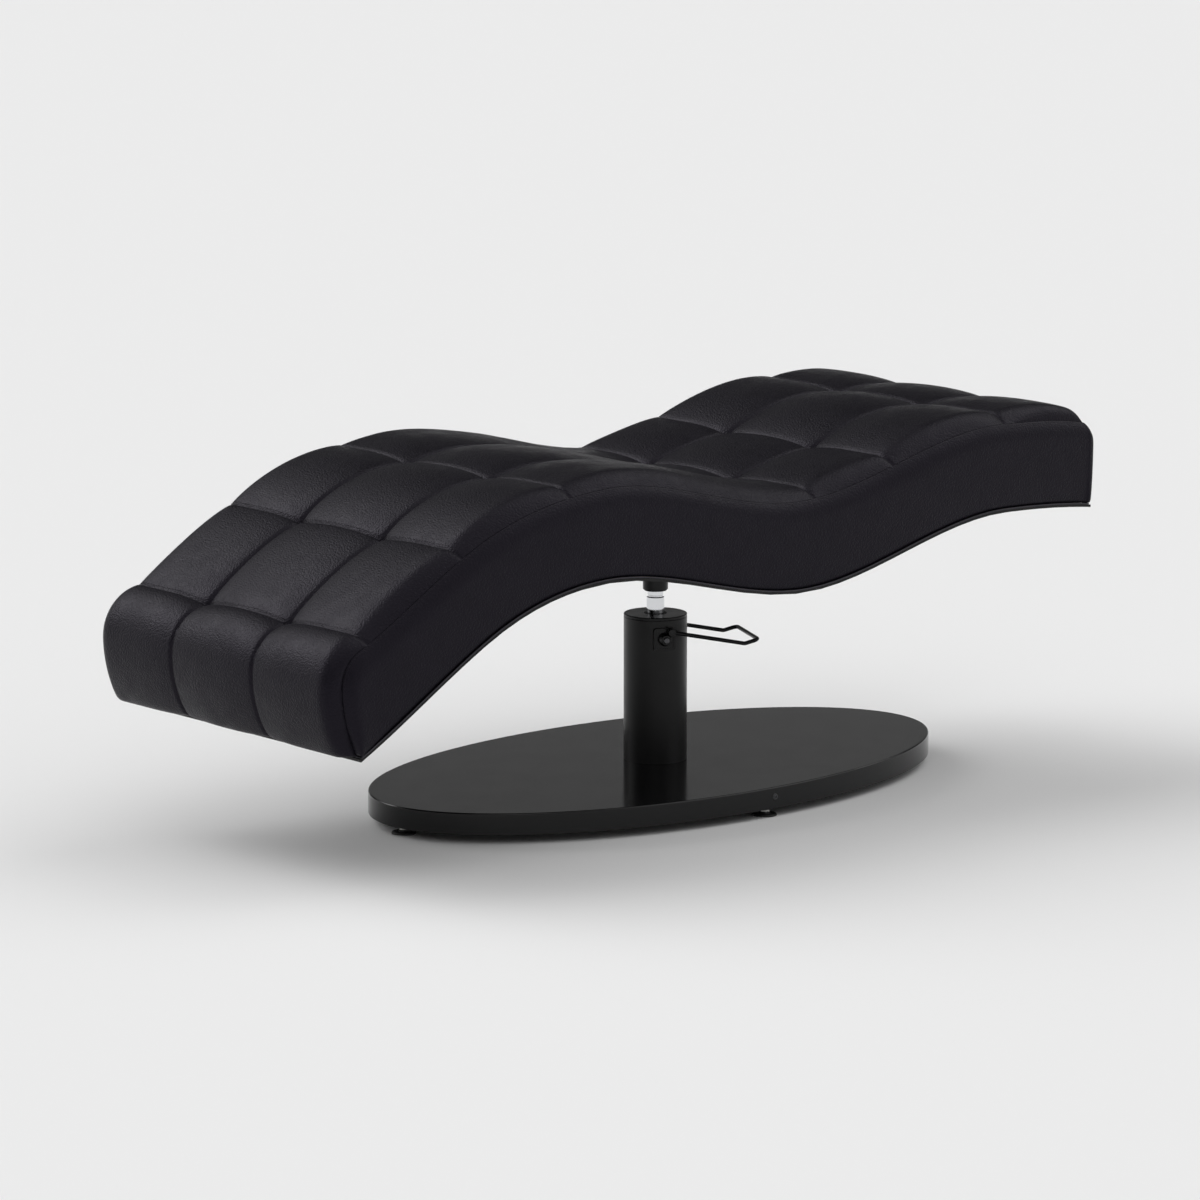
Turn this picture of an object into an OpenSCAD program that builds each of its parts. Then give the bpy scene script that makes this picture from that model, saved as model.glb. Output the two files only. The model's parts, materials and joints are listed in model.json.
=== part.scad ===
// Beauty treatment bed: a tufted, wave-shaped lounge on an oval base with a hydraulic pump column.
// Millimetres. X runs along the bed to the head end, Z is up and the floor is Z = 0.

/* [Bed outline] */
// Width of the upholstered bed
bed_w = 750; // [660:5:820]
// From the column axis to the foot edge
foot_reach = 1020; // [980:5:1080]
// From the foot edge to the calf point of the wave
calf_run = 300; // [270:5:330]
// From the foot edge to the top of the knee hump
knee_run = 580; // [560:5:600]
// From the column axis to the lowest point of the seat
seat_x = 35; // [10:5:60]
// From the column axis to the top of the head hump
shoulder_x = 595; // [570:5:620]
// From the column axis to the head end
head_reach = 834; // [810:2:880]
// Height of the underside at the foot edge
foot_z = 252; // [235:1:270]
// Height of the underside at the calf point
calf_z = 435; // [420:1:450]
// Height of the underside at the knee hump
knee_z = 512; // [500:1:525]
// Height of the underside at the seat
seat_z = 437; // [430:1:442]
// Height of the underside at the head hump
shoulder_z = 535; // [520:1:550]
// Height of the underside at the head end
head_z = 520; // [505:1:535]
// Upright depth from the underside to the top seam
pad_depth = 177; // [165:1:190]

/* [Upholstery] */
// Height of a puff above the top seam
puff_h = 33; // [24:1:40]
// How far the top seam lies inside the side
seam_inset = 15; // [10:1:20]
// Width of the rounded edge of the top panel
edge_roll = 45; // [30:1:60]
// Radius of the upper turn of the foot end
nose_r = 68; // [60:1:80]
// From the foot edge to where the foot end starts to turn
nose_lead = 5; // [0:1:15]
// Sewn row at the toes, from the foot edge
toe_row = 25; // [20:1:60]
// Sewn row at the shins, from the foot edge
shin_row = 245; // [210:5:280]
// Sewn row above the knee, from the foot edge
knee_row = 501; // [460:1:540]
// Sewn row behind the hips, from the column axis
hip_row = 90; // [60:5:120]
// Sewn row at the waist, from the column axis
waist_row = 297; // [260:1:340]
// Sewn row at the shoulders, from the column axis
shoulder_row = 597; // [560:1:640]
// Thickness of the quilted top layer
quilt_t = 12; // [8:1:16]
// Thickness of the padded side band behind the seam
band_t = 6; // [4:0.5:8]
// Height of the piping along the bottom edge
piping_h = 3; // [2:0.5:5]

/* [Bed frame] */
// Thickness of the bent bottom shell
shell_t = 5; // [4:0.5:8]
// Thickness of the deck board
deck_t = 9; // [6:1:12]
// Upright height of the ribs between shell and deck
rib_h = 63; // [60:1:72]
// Thickness of the ribs and cross boards
rib_t = 18; // [12:1:22]
// Number of cross boards
cross_n = 6; // [4:1:8]

/* [Bed mounting] */
// Length of the seat plate
plate_l = 240; // [200:5:260]
// Width of the seat plate
plate_w = 220; // [180:5:260]
// Thickness of the seat plate
plate_t = 8; // [6:1:10]
// Height of the top of the mounting block
block_z = 484; // [478:1:486]
// Diameter of the ram socket
socket_d = 49.5; // [46:0.5:56]
// Height of the bottom of the ram socket
socket_z = 397; // [390:1:405]
// Diameter of the seat plate bolts
plate_bolt_d = 10; // [8:1:12]

/* [Ram and pump] */
// Diameter of the chrome ram
ram_d = 35; // [32:0.5:38]
// Diameter of the ram's neck in the socket
neck_d = 31; // [26:0.5:31.5]
// Height where the neck begins
neck_z = 384; // [376:1:390]
// Travel of the ram
stroke = 150; // [100:5:155]
// Inner diameter of the pressure tube
bore_d = 50; // [48:0.5:54]
// Wall of the pressure tube
pressure_wall = 7; // [5:0.5:8]
// Outer diameter of the reservoir tube
reservoir_d = 80; // [74:1:82]
// Wall of the reservoir tube
reservoir_wall = 3; // [2:0.5:4]
// Height of the pump block
block_h = 58; // [54:1:64]
// Diameter of the pump plunger
plunger_d = 8; // [7:0.5:8.5]
// Wire of the return spring
spring_wire = 1.4; // [1:0.1:1.4]
// Curls of the return spring
spring_curls = 12; // [8:1:14]

/* [Column] */
// Diameter of the column
column_d = 125; // [124:1:135]
// Height of the top of the column
column_z = 352; // [346:1:356]
// Wall of the column tube
column_wall = 4; // [3:0.5:4.5]
// Thickness of the column cap
cap_t = 6; // [4:1:8]

/* [Lever] */
// How far the lever points away from the bed's length
lever_turn = 24.5; // [0:0.5:45]
// Height of the lever shaft
lever_z = 310; // [304:1:316]
// Diameter of the lever wire
wire_d = 8; // [6:0.5:9]
// From the column axis to the middle of each lever leg
leg_y = 72; // [71:0.5:76]
// From the column axis to the bend of a lever leg
bend_x = 162; // [140:1:180]
// From the column axis to the cross bar
bar_x = 190; // [182:1:220]
// Fall of the legs, in degrees
leg_fall = 11.2; // [5:0.1:15]
// Rise of the legs past the bend, in degrees
leg_rise = 14.3; // [0:0.1:25]
// Diameter of the lever shafts
shaft_d = 12; // [10:0.5:12]
// Side of the square escutcheon
escutcheon_w = 44; // [38:1:48]

/* [Base] */
// Length of the oval base
base_l = 1326; // [1250:2:1400]
// Width of the oval base
base_w = 709; // [680:1:760]
// Height of the rim of the base cover
rim_h = 42; // [42:1:50]
// Height of the rim above the floor
rim_z = 18; // [16:1:20]
// Sheet thickness of the base cover
sheet_t = 3; // [2:0.5:4]
// Bevel round the top of the cover
rim_bevel = 3; // [1.5:0.5:4]
// Thickness of the steel base plate
ballast_t = 15; // [12:1:15]
// Diameter of the pump flange
flange_d = 190; // [180:2:210]
// Thickness of the pump flange
flange_t = 12; // [10:1:12]
// Number of flange bolts
flange_bolt_n = 6; // [4:1:8]
// Diameter of the flange bolts
flange_bolt_d = 12; // [10:1:12]

/* [Levelling feet] */
// Diameter of a foot pad
pad_d = 47; // [40:1:50]
// Thickness of a foot pad's disc
pad_t = 4; // [3:0.5:6]
// Diameter of a foot's stud
stud_d = 12; // [10:0.5:12]
// From the base's ends to the middle of the head and foot pads
pad_from_end = 31; // [28:1:60]
// From the base's sides to the middle of the side pads
pad_from_side = 29.5; // [27:0.5:50]

/* [Hidden] */

// One overrun for every cut, the space left at glued joints, the clearance beside soft pieces
// and the running fit of round pieces
over = 1;
glue = 0.2;
ease = 0.3;
fit = 0.05;
fine = 96;
small = 48;

// Colours
black_gloss = [0.05, 0.05, 0.055];
black_satin = [0.08, 0.08, 0.085];
leather = [0.13, 0.12, 0.14];
chrome = [0.8, 0.81, 0.83];
steel = [0.55, 0.56, 0.58];
zinc = [0.66, 0.66, 0.62];
bronze = [0.66, 0.5, 0.28];
rubber = [0.06, 0.06, 0.06];
birch = [0.78, 0.64, 0.45];
foam = [0.87, 0.84, 0.72];

// The wave of the bed: a smooth curve through six named points, with a slope at each
key_xs = [-foot_reach, calf_run - foot_reach, knee_run - foot_reach,
          seat_x, shoulder_x, head_reach];
under_zs = [foot_z, calf_z, knee_z, seat_z, shoulder_z, head_z];
under_slope_shares = [0.545, 0.548, 0.032, -0.038, -0.011, -0.128];
depth_shares = [1.119, 1.066, 0.998, 0.997, 0.989, 0.952];
seam_zs = [for (i = [0 : len(key_xs) - 1]) under_zs[i] + pad_depth * depth_shares[i]];
seam_slope_shares = [0.487, 0.45, 0.065, -0.03, -0.036, -0.23];
function span_of(x) = max([for (i = [0 : len(key_xs) - 2]) (i == 0 || x > key_xs[i]) ? i : 0]);
function wave(zs, slopes, x) =
    let (i = span_of(x), h = key_xs[i + 1] - key_xs[i], t = (x - key_xs[i]) / h, s = 1 - t)
    s * s * (1 + 2 * t) * zs[i] + t * t * (3 - 2 * t) * zs[i + 1]
    + h * t * s * (s * slopes[i] - t * slopes[i + 1]);
function wave_slope(zs, slopes, x) =
    let (i = span_of(x), h = key_xs[i + 1] - key_xs[i], t = (x - key_xs[i]) / h)
    6 * t * (1 - t) * (zs[i + 1] - zs[i]) / h
    + (1 - t) * (1 - 3 * t) * slopes[i] + t * (3 * t - 2) * slopes[i + 1];
function under(x) = wave(under_zs, under_slope_shares, x);
function seam(x) = wave(seam_zs, seam_slope_shares, x);
function seam_slope(x) = wave_slope(seam_zs, seam_slope_shares, x);

// Layers above the underside, each given by its upright distance from it
skirt_at = shell_t + piping_h + ease;
rib_at = shell_t + glue;
deck_at = rib_at + rib_h + glue;
foam_at = deck_at + deck_t + glue;

// The foot end: two arcs carry the top seam down to the foot edge
function unit(v) = v / norm(v);
turn_x = nose_lead - foot_reach;
turn_a = atan(seam_slope(turn_x));
nose_c = [turn_x + nose_r * sin(turn_a), seam(turn_x) - nose_r * cos(turn_a)];
toe = [-foot_reach, under(-foot_reach) + skirt_at];
front = [nose_c[0] - nose_r, nose_c[1]];
front_a = 2 * atan((toe[0] - front[0]) / (front[1] - toe[1]));
front_r = (front[1] - toe[1]) / sin(front_a);
front_c = [front[0] + front_r, front[1]];
function front_point(a) = front_c + front_r * [-cos(a), -sin(a)];
function nose_point(a) = nose_c + nose_r * [-cos(a), sin(a)];
toe_x = toe_row - foot_reach;
front_steps = 3;
nose_steps = 4;
nose_row_points = concat(
    [for (i = [0 : front_steps - 1]) front_point(front_a * (1 - i / front_steps))],
    [for (i = [0 : nose_steps]) nose_point((90 - turn_a) * i / nose_steps)],
    [[toe_x, seam(toe_x)]]);

// The sewn rows and the steps of each row, from the toes to the head seam
head_seam = head_reach - seam_inset;
row_xs = [toe_x, shin_row - foot_reach, knee_row - foot_reach,
          hip_row, waist_row, shoulder_row, head_seam];
row_steps = [5, 5, 9, 5, 6, 5];
function row_point(r, i) =
    let (x = row_xs[r] + (row_xs[r + 1] - row_xs[r]) * i / row_steps[r]) [x, seam(x)];
rows = concat([nose_row_points],
    [for (r = [0 : len(row_steps) - 1]) [for (i = [0 : row_steps[r]]) row_point(r, i)]]);
function run(points, n) = n == 0 ? 0 : norm(points[n] - points[n - 1]) + run(points, n - 1);
function way(points, n) = run(points, n) / run(points, len(points) - 1);

// One station is [x, z, share of its row, foot of its ring along the bottom edge]
lean_share = 0.8;
function ring_foot(x) = x + lean_share * seam_slope(x) * (seam(x) - under(x));
row_feet = concat([-foot_reach],
    [for (i = [0 : len(row_xs) - 2]) ring_foot(row_xs[i])], [head_seam]);
stations = concat(
    [for (r = [0 : len(rows) - 1]) for (i = [0 : len(rows[r]) - 2])
        let (w = way(rows[r], i))
        [rows[r][i][0], rows[r][i][1], w, row_feet[r] + (row_feet[r + 1] - row_feet[r]) * w, r]],
    [[head_seam, seam(head_seam), 0, head_seam, len(rows)]]);
last = len(stations) - 1;
function spot(k) = [stations[k][0], stations[k][1]];
function outward(k) =
    let (d = spot(min(k + 1, last)) - spot(max(k - 1, 0))) unit([-d[1], d[0]]);

// The tufts: puffs between the sewn rows and the two channels along the bed
top_half = bed_w / 2 - seam_inset;
channel_y = bed_w / 6;
outer_shares = [0, 0.035, 0.11, 0.24, 0.46, 0.7, 0.88];
inner_shares = [0, 0.13, 0.31, 0.5, 0.69, 0.87, 1];
outer_w = top_half - channel_y;
grid_ys = concat(
    [for (s = outer_shares) outer_w * s - top_half],
    [for (s = inner_shares) channel_y * (2 * s - 1)],
    [for (i = [len(outer_shares) - 1 : -1 : 0]) top_half - outer_w * outer_shares[i]]);
row_power = 0.6;
toe_power = 0.3;
column_power = 0.75;
function pillow(s, power) = pow(max(0, 4 * s * (1 - s)), power);
function outer_pillow(s) = s < 0.5 ? 1 : pillow(s, column_power);
function side_share(j) = (top_half - abs(grid_ys[j])) / outer_w;
function middle_share(j) = (grid_ys[j] + channel_y) / (2 * channel_y);
function across(j) =
    abs(grid_ys[j]) > channel_y ? outer_pillow(side_share(j))
    : pillow(middle_share(j), column_power);
function roll(d) = d >= edge_roll ? 1 : sqrt(max(0, 1 - pow(1 - d / edge_roll, 2)));
node_share = 0.05;
row_share = 0.45;
column_share = 0.28;
crown_share = 1 - node_share - row_share - column_share;
nose_puff_share = 1.1;
function row_scale(k) = stations[k][4] == 0 ? nose_puff_share : 1;
function row_pillow(k) =
    let (s = stations[k][2])
    pillow(s, stations[k][4] == 0 && s < 0.5 ? toe_power : row_power);
function puff(k, j) =
    let (r = row_pillow(k), c = across(j))
    (k == 0 || k == last) ? 0
    : puff_h * row_scale(k) * roll(top_half - abs(grid_ys[j]))
      * (node_share + row_share * r + column_share * c + crown_share * r * c);
top_grid = [for (k = [0 : last]) [for (j = [0 : len(grid_ys) - 1])
    let (p = spot(k) + outward(k) * puff(k, j)) [p[0], grid_ys[j], p[1]]]];

// The column stands so that the outline is centred on the origin
low_x = min([for (k = [0 : last]) for (p = top_grid[k]) p[0]]);
column_x = -(low_x + head_reach) / 2;
module on_axis() translate([column_x, 0, 0]) children();

// Lists of faces for a closed body built from equal rings
function side_faces(rings, m) = [for (k = [0 : rings - 2]) for (i = [0 : m - 1])
    let (a = k * m + i, b = k * m + (i + 1) % m, c = a + m, d = b + m)
    each [[a, b, c], [b, d, c]]];
function end_faces(rings, m) = concat([[for (i = [m - 1 : -1 : 0]) i]],
    [[for (i = [0 : m - 1]) (rings - 1) * m + (i + m - 1) % m]]);

// Every layer of the bed bends at the same places, so that layers stay parallel where they meet
bend_xs = concat([for (k = [0 : last]) stations[k][3]], [head_reach]);
bend_table = [for (x = bend_xs) [x, under(x)]];
function under_line(x) = lookup(x, bend_table);
function bends_between(from, to) = concat(
    [from], [for (x = bend_xs) if (x > from + over && x < to - over) x], [to]);
function backwards(v) = [for (i = [len(v) - 1 : -1 : 0]) v[i]];

// A strip of the bed's side view between two heights above the underside
module strip(from, to, low, high, half) {
    xs = bends_between(from, to);
    rotate([90, 0, 0])
        linear_extrude(height = 2 * half, center = true)
            polygon(concat(
                [for (x = xs) [x, under_line(x) + low]],
                [for (x = backwards(xs)) [x, under_line(x) + high]]));
}

// Upholstery. The quilted top's lower face ends on the skirt at the toes and square at the head
function quilt_low(k) =
    k == last ? [foam_head, seam(head_seam) - quilt_t]
    : k == 0 ? [quilt_t - foot_reach, under_line(quilt_t - foot_reach) + skirt_at]
    : spot(k) - outward(k) * quilt_t;
module quilted_top() {
    low_half = bed_w / 2 - seam_inset - band_t - ease;
    n = len(grid_ys);
    squeeze = (top_half - ease) / top_half;
    rings = [for (k = [0 : last])
        let (b = quilt_low(k), back = k == last ? ease : 0, half = low_half - (k == 0 ? over : 0))
        concat(
            [for (g = top_grid[k]) [g[0] - back, g[1] * squeeze, g[2]]],
            [[b[0], half, b[1]], [b[0], -half, b[1]]])];
    on_axis()
        color(leather)
            polyhedron(points = [for (r = rings) each r],
                       faces = concat(side_faces(last + 1, n + 2), end_faces(last + 1, n + 2)));
}

// Offsets of the band from the seam's plane outwards, with their shares of the height
shoulder_drop = 34;
shoulder_drop_shares = [1, 0.5, 0.18];
shoulder_out_shares = [1, 0.86, 0.5];
tuck = 3;
chamfer_share = 0.4;
inner_mitre_share = 1.05;
hem = 4;
function band_ring(k) =
    let (low = [stations[k][3], under(stations[k][3]) + skirt_at],
         high = k == 0 ? low + unit(spot(1) - spot(0)) * hem : spot(k),
         h = norm(high - low), drop = min(shoulder_drop, h / 2), u = unit(high - low),
         inner_high = k == last ? high - u * quilt_t : quilt_low(k),
         edge = k == 0 ? low : high,
         inner_x = quilt_low(0)[0] + hem,
         inner_low = k == 0 ? [inner_x, under_line(inner_x) + skirt_at] : low)
    concat(
        [[low[0], low[1], seam_inset - tuck]],
        [for (i = [0 : 2])
            let (p = high - u * drop * shoulder_drop_shares[i])
            [p[0], p[1], seam_inset * shoulder_out_shares[i]]],
        [[edge[0], edge[1], 0],
         [inner_high[0], inner_high[1], -band_t],
         [inner_low[0], inner_low[1], -band_t]]);
function near_ring(k) = [for (p = band_ring(k)) [p[0], -(top_half + p[2]), p[1]]];
function near_corner(share_x, share_y) = [for (p = band_ring(last))
    let (f = p[2] > 0 ? [share_x, share_y]
        : [share_x < 1 ? inner_mitre_share : 1, share_y < 1 ? inner_mitre_share : 1])
    [p[0] + p[2] * f[0], -(top_half + p[2] * f[1]), p[1]]];
function mirrored(ring) = [for (p = ring) [p[0], -p[1], p[2]]];
module side_band() {
    near = concat([for (k = [0 : last - 1]) near_ring(k)],
                  [near_corner(chamfer_share, 1), near_corner(1, chamfer_share)]);
    rings = concat(near, [for (i = [len(near) - 1 : -1 : 0]) mirrored(near[i])]);
    m = len(rings[0]);
    on_axis()
        color(leather)
            polyhedron(points = [for (r = rings) each r],
                       faces = concat(side_faces(len(rings), m), end_faces(len(rings), m)));
}

foam_half = bed_w / 2 - seam_inset - band_t - ease;
foam_head = head_seam - band_t - ease;
foam_front = -foot_reach + 2 * rib_t;
module foam_core() {
    top_line = [for (k = [0 : last])
        k == last ? quilt_low(k) - [0, ease]
        : k == 0 ? quilt_low(k) + [ease, 0]
        : spot(k) - outward(k) * (quilt_t + ease)];
    low_xs = backwards(bends_between(foam_front, foam_head));
    on_axis()
        color(foam)
            rotate([90, 0, 0])
                linear_extrude(height = 2 * foam_half, center = true)
                    polygon(concat(
                        top_line,
                        [for (x = low_xs) [x, under_line(x) + foam_at]],
                        [[foam_front, under_line(foam_front) + skirt_at]]));
}

module edge_piping() {
    half = bed_w / 2 - tuck / 2;
    wide = 2 * piping_h;
    on_axis()
        color(leather)
            difference() {
                strip(-foot_reach, head_reach - tuck, shell_t + glue, shell_t + piping_h, half);
                strip(wide - foot_reach, head_reach - tuck - wide,
                      shell_t - over, shell_t + piping_h + over, half - wide);
            }
}

// Bed frame
module bottom_shell() {
    on_axis()
        color(black_satin)
            difference() {
                strip(-foot_reach, head_reach - tuck, 0, shell_t, bed_w / 2 - tuck);
                translate([0, 0, socket_z])
                    cylinder(d = socket_d + 2 * ease, h = block_z - socket_z, $fn = fine);
            }
}

rib_y = foam_half - rib_t / 2 - band_t;
rib_from = foam_front + rib_t;
rib_to = foam_head - rib_t;
module rib(side) {
    on_axis()
        color(birch)
            translate([0, side * rib_y, 0])
                strip(rib_from, rib_to, rib_at, rib_at + rib_h, rib_t / 2);
}
module rib_near() rib(-1);
module rib_far() rib(1);

module cross_boards() {
    half = rib_y - rib_t / 2 - glue;
    reach = rib_to - rib_from - 2 * rib_t;
    on_axis()
        color(birch)
            for (i = [0 : cross_n]) {
                x = rib_from + rib_t + reach * i / cross_n;
                if (abs(x) > plate_l / 2 + 2 * rib_t)
                    strip(x - rib_t / 2, x + rib_t / 2, rib_at, rib_at + rib_h, half);
            }
}

module deck_board() {
    on_axis()
        color(birch)
            strip(foam_front + glue, foam_head, deck_at, deck_at + deck_t, foam_half - ease);
}

// Bed mounting
bolt_inset = 25;
bolt_at = [plate_l / 2 - bolt_inset, plate_w / 2 - bolt_inset];
head_share = 0.64;
flats_share = 1.7;
thread_share = 1.5;
tee_depth = 18;
tee_z = block_z - tee_depth;
tee_flange_t = 2;
tee_flange_share = 2.4;
tee_barrel_share = 1.3;
tee_flange_d = tee_flange_share * plate_bolt_d;
tee_barrel_d = tee_barrel_share * plate_bolt_d;
tee_pocket = tee_z + tee_flange_t - seat_z;
tee_h = 14;
ram_bolt_d = 12;
module at_plate_bolts() {
    for (x = [-bolt_at[0], bolt_at[0]], y = [-bolt_at[1], bolt_at[1]])
        translate([x, y, 0])
            children();
}
module hex(flats, height) {
    cylinder(d = flats / cos(30), h = height, $fn = 6);
}

module mounting_block() {
    on_axis()
        color(birch)
            difference() {
                intersection() {
                    strip(-plate_l / 2 - rib_t, plate_l / 2 + rib_t, rib_at, rib_at + rib_h,
                          plate_w / 2 + rib_t);
                    translate([0, 0, block_z / 2])
                        cube([plate_l + 2 * rib_t, plate_w + 2 * rib_t, block_z], center = true);
                }
                translate([0, 0, socket_z])
                    cylinder(d = socket_d + 2 * ease, h = block_z - socket_z + over, $fn = fine);
                at_plate_bolts() {
                    translate([0, 0, seat_z])
                        cylinder(d = tee_flange_d + 2 * glue, h = tee_pocket, $fn = small);
                    translate([0, 0, tee_z])
                        cylinder(d = tee_barrel_d + 2 * glue, h = tee_h + glue, $fn = small);
                    translate([0, 0, tee_z])
                        cylinder(d = plate_bolt_d + 2 * ease, h = tee_depth + over, $fn = small);
                }
            }
}

module tee_nuts() {
    on_axis()
        color(zinc)
            at_plate_bolts()
                difference() {
                    union() {
                        translate([0, 0, tee_z])
                            cylinder(d = tee_flange_d, h = tee_flange_t - glue, $fn = small);
                        translate([0, 0, tee_z])
                            cylinder(d = tee_barrel_d, h = tee_h, $fn = small);
                    }
                    translate([0, 0, tee_z - over])
                        cylinder(d = plate_bolt_d + 2 * fit, h = tee_h + 2 * over, $fn = small);
                }
}

module seat_plate() {
    corner = rib_t;
    on_axis()
        color(steel)
            difference() {
                translate([0, 0, block_z])
                    linear_extrude(height = plate_t)
                        difference() {
                            square([plate_l, plate_w], center = true);
                            for (x = [-1, 1], y = [-1, 1])
                                translate([x * plate_l / 2, y * plate_w / 2])
                                    rotate(45)
                                        square(corner, center = true);
                        }
                translate([0, 0, block_z - over])
                    cylinder(d = ram_bolt_d + 2 * ease, h = plate_t + 2 * over, $fn = small);
                at_plate_bolts()
                    translate([0, 0, block_z - over])
                        cylinder(d = plate_bolt_d + 2 * ease, h = plate_t + 2 * over, $fn = small);
            }
}

module plate_bolts() {
    on_axis()
        color(zinc)
            at_plate_bolts() {
                translate([0, 0, tee_z])
                    cylinder(d = plate_bolt_d, h = tee_depth + plate_t, $fn = small);
                translate([0, 0, block_z + plate_t])
                    hex(flats_share * plate_bolt_d, head_share * plate_bolt_d);
            }
}

// The ram stands in the piston head, runs up through the guide bush and ends in the socket
ballast_lift = 2;
ballast_z = rim_z + ballast_lift;
plate_top = ballast_z + ballast_t;
flange_top = plate_top + flange_t;
block_top = flange_top + block_h;
piston_z = block_top + ease;
piston_h = 26;
cup_floor = 6;
race_t = 4;
ram_z = piston_z + cup_floor + race_t + fit;
neck_top = block_z - 2 * ram_bolt_d;
socket_wall_top = neck_top + fit;
neck_bevel = (ram_d - neck_d) / 2;
module ram() {
    tap = 2 * ram_bolt_d;
    on_axis()
        color(chrome)
            difference() {
                union() {
                    translate([0, 0, ram_z])
                        cylinder(d = ram_d, h = neck_z - ram_z, $fn = fine);
                    translate([0, 0, neck_z])
                        cylinder(d1 = ram_d, d2 = neck_d, h = neck_bevel, $fn = fine);
                    translate([0, 0, neck_z])
                        cylinder(d = neck_d, h = neck_top - neck_z, $fn = fine);
                }
                translate([0, 0, neck_top - tap])
                    cylinder(d = ram_bolt_d, h = tap + over, $fn = small);
            }
}

socket_chamfer = 3;
socket_low_d = socket_d - 2 * socket_chamfer;
module ram_socket() {
    on_axis()
        color(black_satin)
            difference() {
                union() {
                    translate([0, 0, socket_z])
                        cylinder(d1 = socket_low_d, d2 = socket_d, h = socket_chamfer, $fn = fine);
                    translate([0, 0, socket_z + socket_chamfer])
                        cylinder(d = socket_d, h = block_z - socket_z - socket_chamfer, $fn = fine);
                }
                translate([0, 0, socket_z - over])
                    cylinder(d = neck_d + 2 * fit, h = socket_wall_top - socket_z + over, $fn = fine);
                translate([0, 0, socket_z])
                    cylinder(d = ram_bolt_d + 2 * ease, h = block_z - socket_z + over, $fn = small);
            }
}

module ram_bolt() {
    reach = thread_share * ram_bolt_d;
    shank = block_z + plate_t - neck_top + reach;
    on_axis()
        color(zinc) {
            translate([0, 0, neck_top - reach])
                cylinder(d = ram_bolt_d - 2 * fit, h = shank, $fn = small);
            translate([0, 0, block_z + plate_t])
                cylinder(d = flats_share * ram_bolt_d, h = head_share * ram_bolt_d, $fn = small);
        }
}

// Piston: it slides in the pressure tube, and the ram turns in its cup
seal_h = 6;
seal_depth = 3;
module piston_head() {
    on_axis()
        color(steel)
            difference() {
                translate([0, 0, piston_z])
                    cylinder(d = bore_d - 4 * fit, h = piston_h, $fn = fine);
                translate([0, 0, piston_z + cup_floor])
                    cylinder(d = ram_d + 2 * fit, h = piston_h, $fn = fine);
                translate([0, 0, piston_z + piston_h / 2])
                    difference() {
                        cylinder(d = bore_d + over, h = seal_h, $fn = fine);
                        cylinder(d = bore_d - 2 * seal_depth, h = seal_h, $fn = fine);
                    }
            }
}
module piston_seal() {
    on_axis()
        color(rubber)
            translate([0, 0, piston_z + piston_h / 2 + glue])
                difference() {
                    cylinder(d = bore_d - 2 * fit, h = seal_h - 2 * glue, $fn = fine);
                    translate([0, 0, -over])
                        cylinder(d = bore_d - 2 * seal_depth + 2 * fit, h = seal_h + 2 * over, $fn = fine);
                }
}
module thrust_bearing() {
    on_axis()
        color(bronze)
            translate([0, 0, piston_z + cup_floor])
                cylinder(d = ram_d, h = race_t, $fn = fine);
}

// Pump
pressure_d = bore_d + 2 * pressure_wall;
pressure_seat = 6;
column_inner = column_d / 2 - column_wall;
column_low = flange_top;
cap_z = column_z - cap_t;
stop_gap = 18.7;
head_at = piston_z + piston_h + stroke + stop_gap;
guide_l = cap_z - head_at;
head_d = reservoir_d;
bush_wall = 4.5;
plunger_inset = 7;
plunger_r = column_inner - plunger_inset;
plunger_rest = 4;
plunger_low = flange_top + block_h / 2 + plunger_rest;
yoke_h = 10;
nose_rod = 6;
yoke_low = lever_z - nose_rod;
lever_swing = 20;
spring_l = 55;
collar_z = block_top + spring_l;
collar_h = 4;
collar_d = 12.4;
ball_d = 8;
ball_r = 46;
plug_d = 10;
plug_h = 13;
valve_floor = 10;
valve_angles = [70, 110];
module lever_frame() {
    on_axis()
        rotate([0, 0, -lever_turn])
            children();
}
module at_valves() {
    for (a = valve_angles)
        rotate([0, 0, a])
            translate([ball_r, 0, 0])
                children();
}
module pump_block() {
    pocket = plunger_low - plunger_r * sin(lever_swing) - 2 * over;
    lever_frame()
        color(steel)
            difference() {
                translate([0, 0, flange_top])
                    cylinder(r = column_inner - ease, h = block_h, $fn = fine);
                translate([0, 0, block_top - pressure_seat])
                    difference() {
                        cylinder(d = pressure_d + 2 * fit, h = pressure_seat + over, $fn = fine);
                        cylinder(d = bore_d - 2 * fit, h = pressure_seat + 2 * over, $fn = fine);
                    }
                translate([plunger_r, 0, pocket])
                    cylinder(d = plunger_d + 2 * fit, h = block_top - pocket + over, $fn = small);
                at_valves() {
                    translate([0, 0, flange_top + valve_floor])
                        cylinder(d = ball_d + 2 * glue, h = block_h, $fn = small);
                    translate([0, 0, block_top - plug_h])
                        cylinder(d = plug_d + 2 * fit, h = plug_h + over, $fn = small);
                }
            }
}
module check_balls() {
    lever_frame()
        color(chrome)
            at_valves()
                translate([0, 0, flange_top + valve_floor + ball_d / 2])
                    sphere(d = ball_d, $fn = small);
}
module valve_plugs() {
    lever_frame()
        color(zinc)
            at_valves() {
                translate([0, 0, block_top - plug_h])
                    cylinder(d = plug_d, h = plug_h, $fn = small);
                translate([0, 0, block_top])
                    hex(plug_d, plug_h / 3);
            }
}
module pressure_tube() {
    on_axis()
        color(steel)
            translate([0, 0, block_top - pressure_seat])
                difference() {
                    cylinder(d = pressure_d, h = head_at - block_top + pressure_seat, $fn = fine);
                    translate([0, 0, -over])
                        cylinder(d = bore_d, h = head_at, $fn = fine);
                }
}
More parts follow.
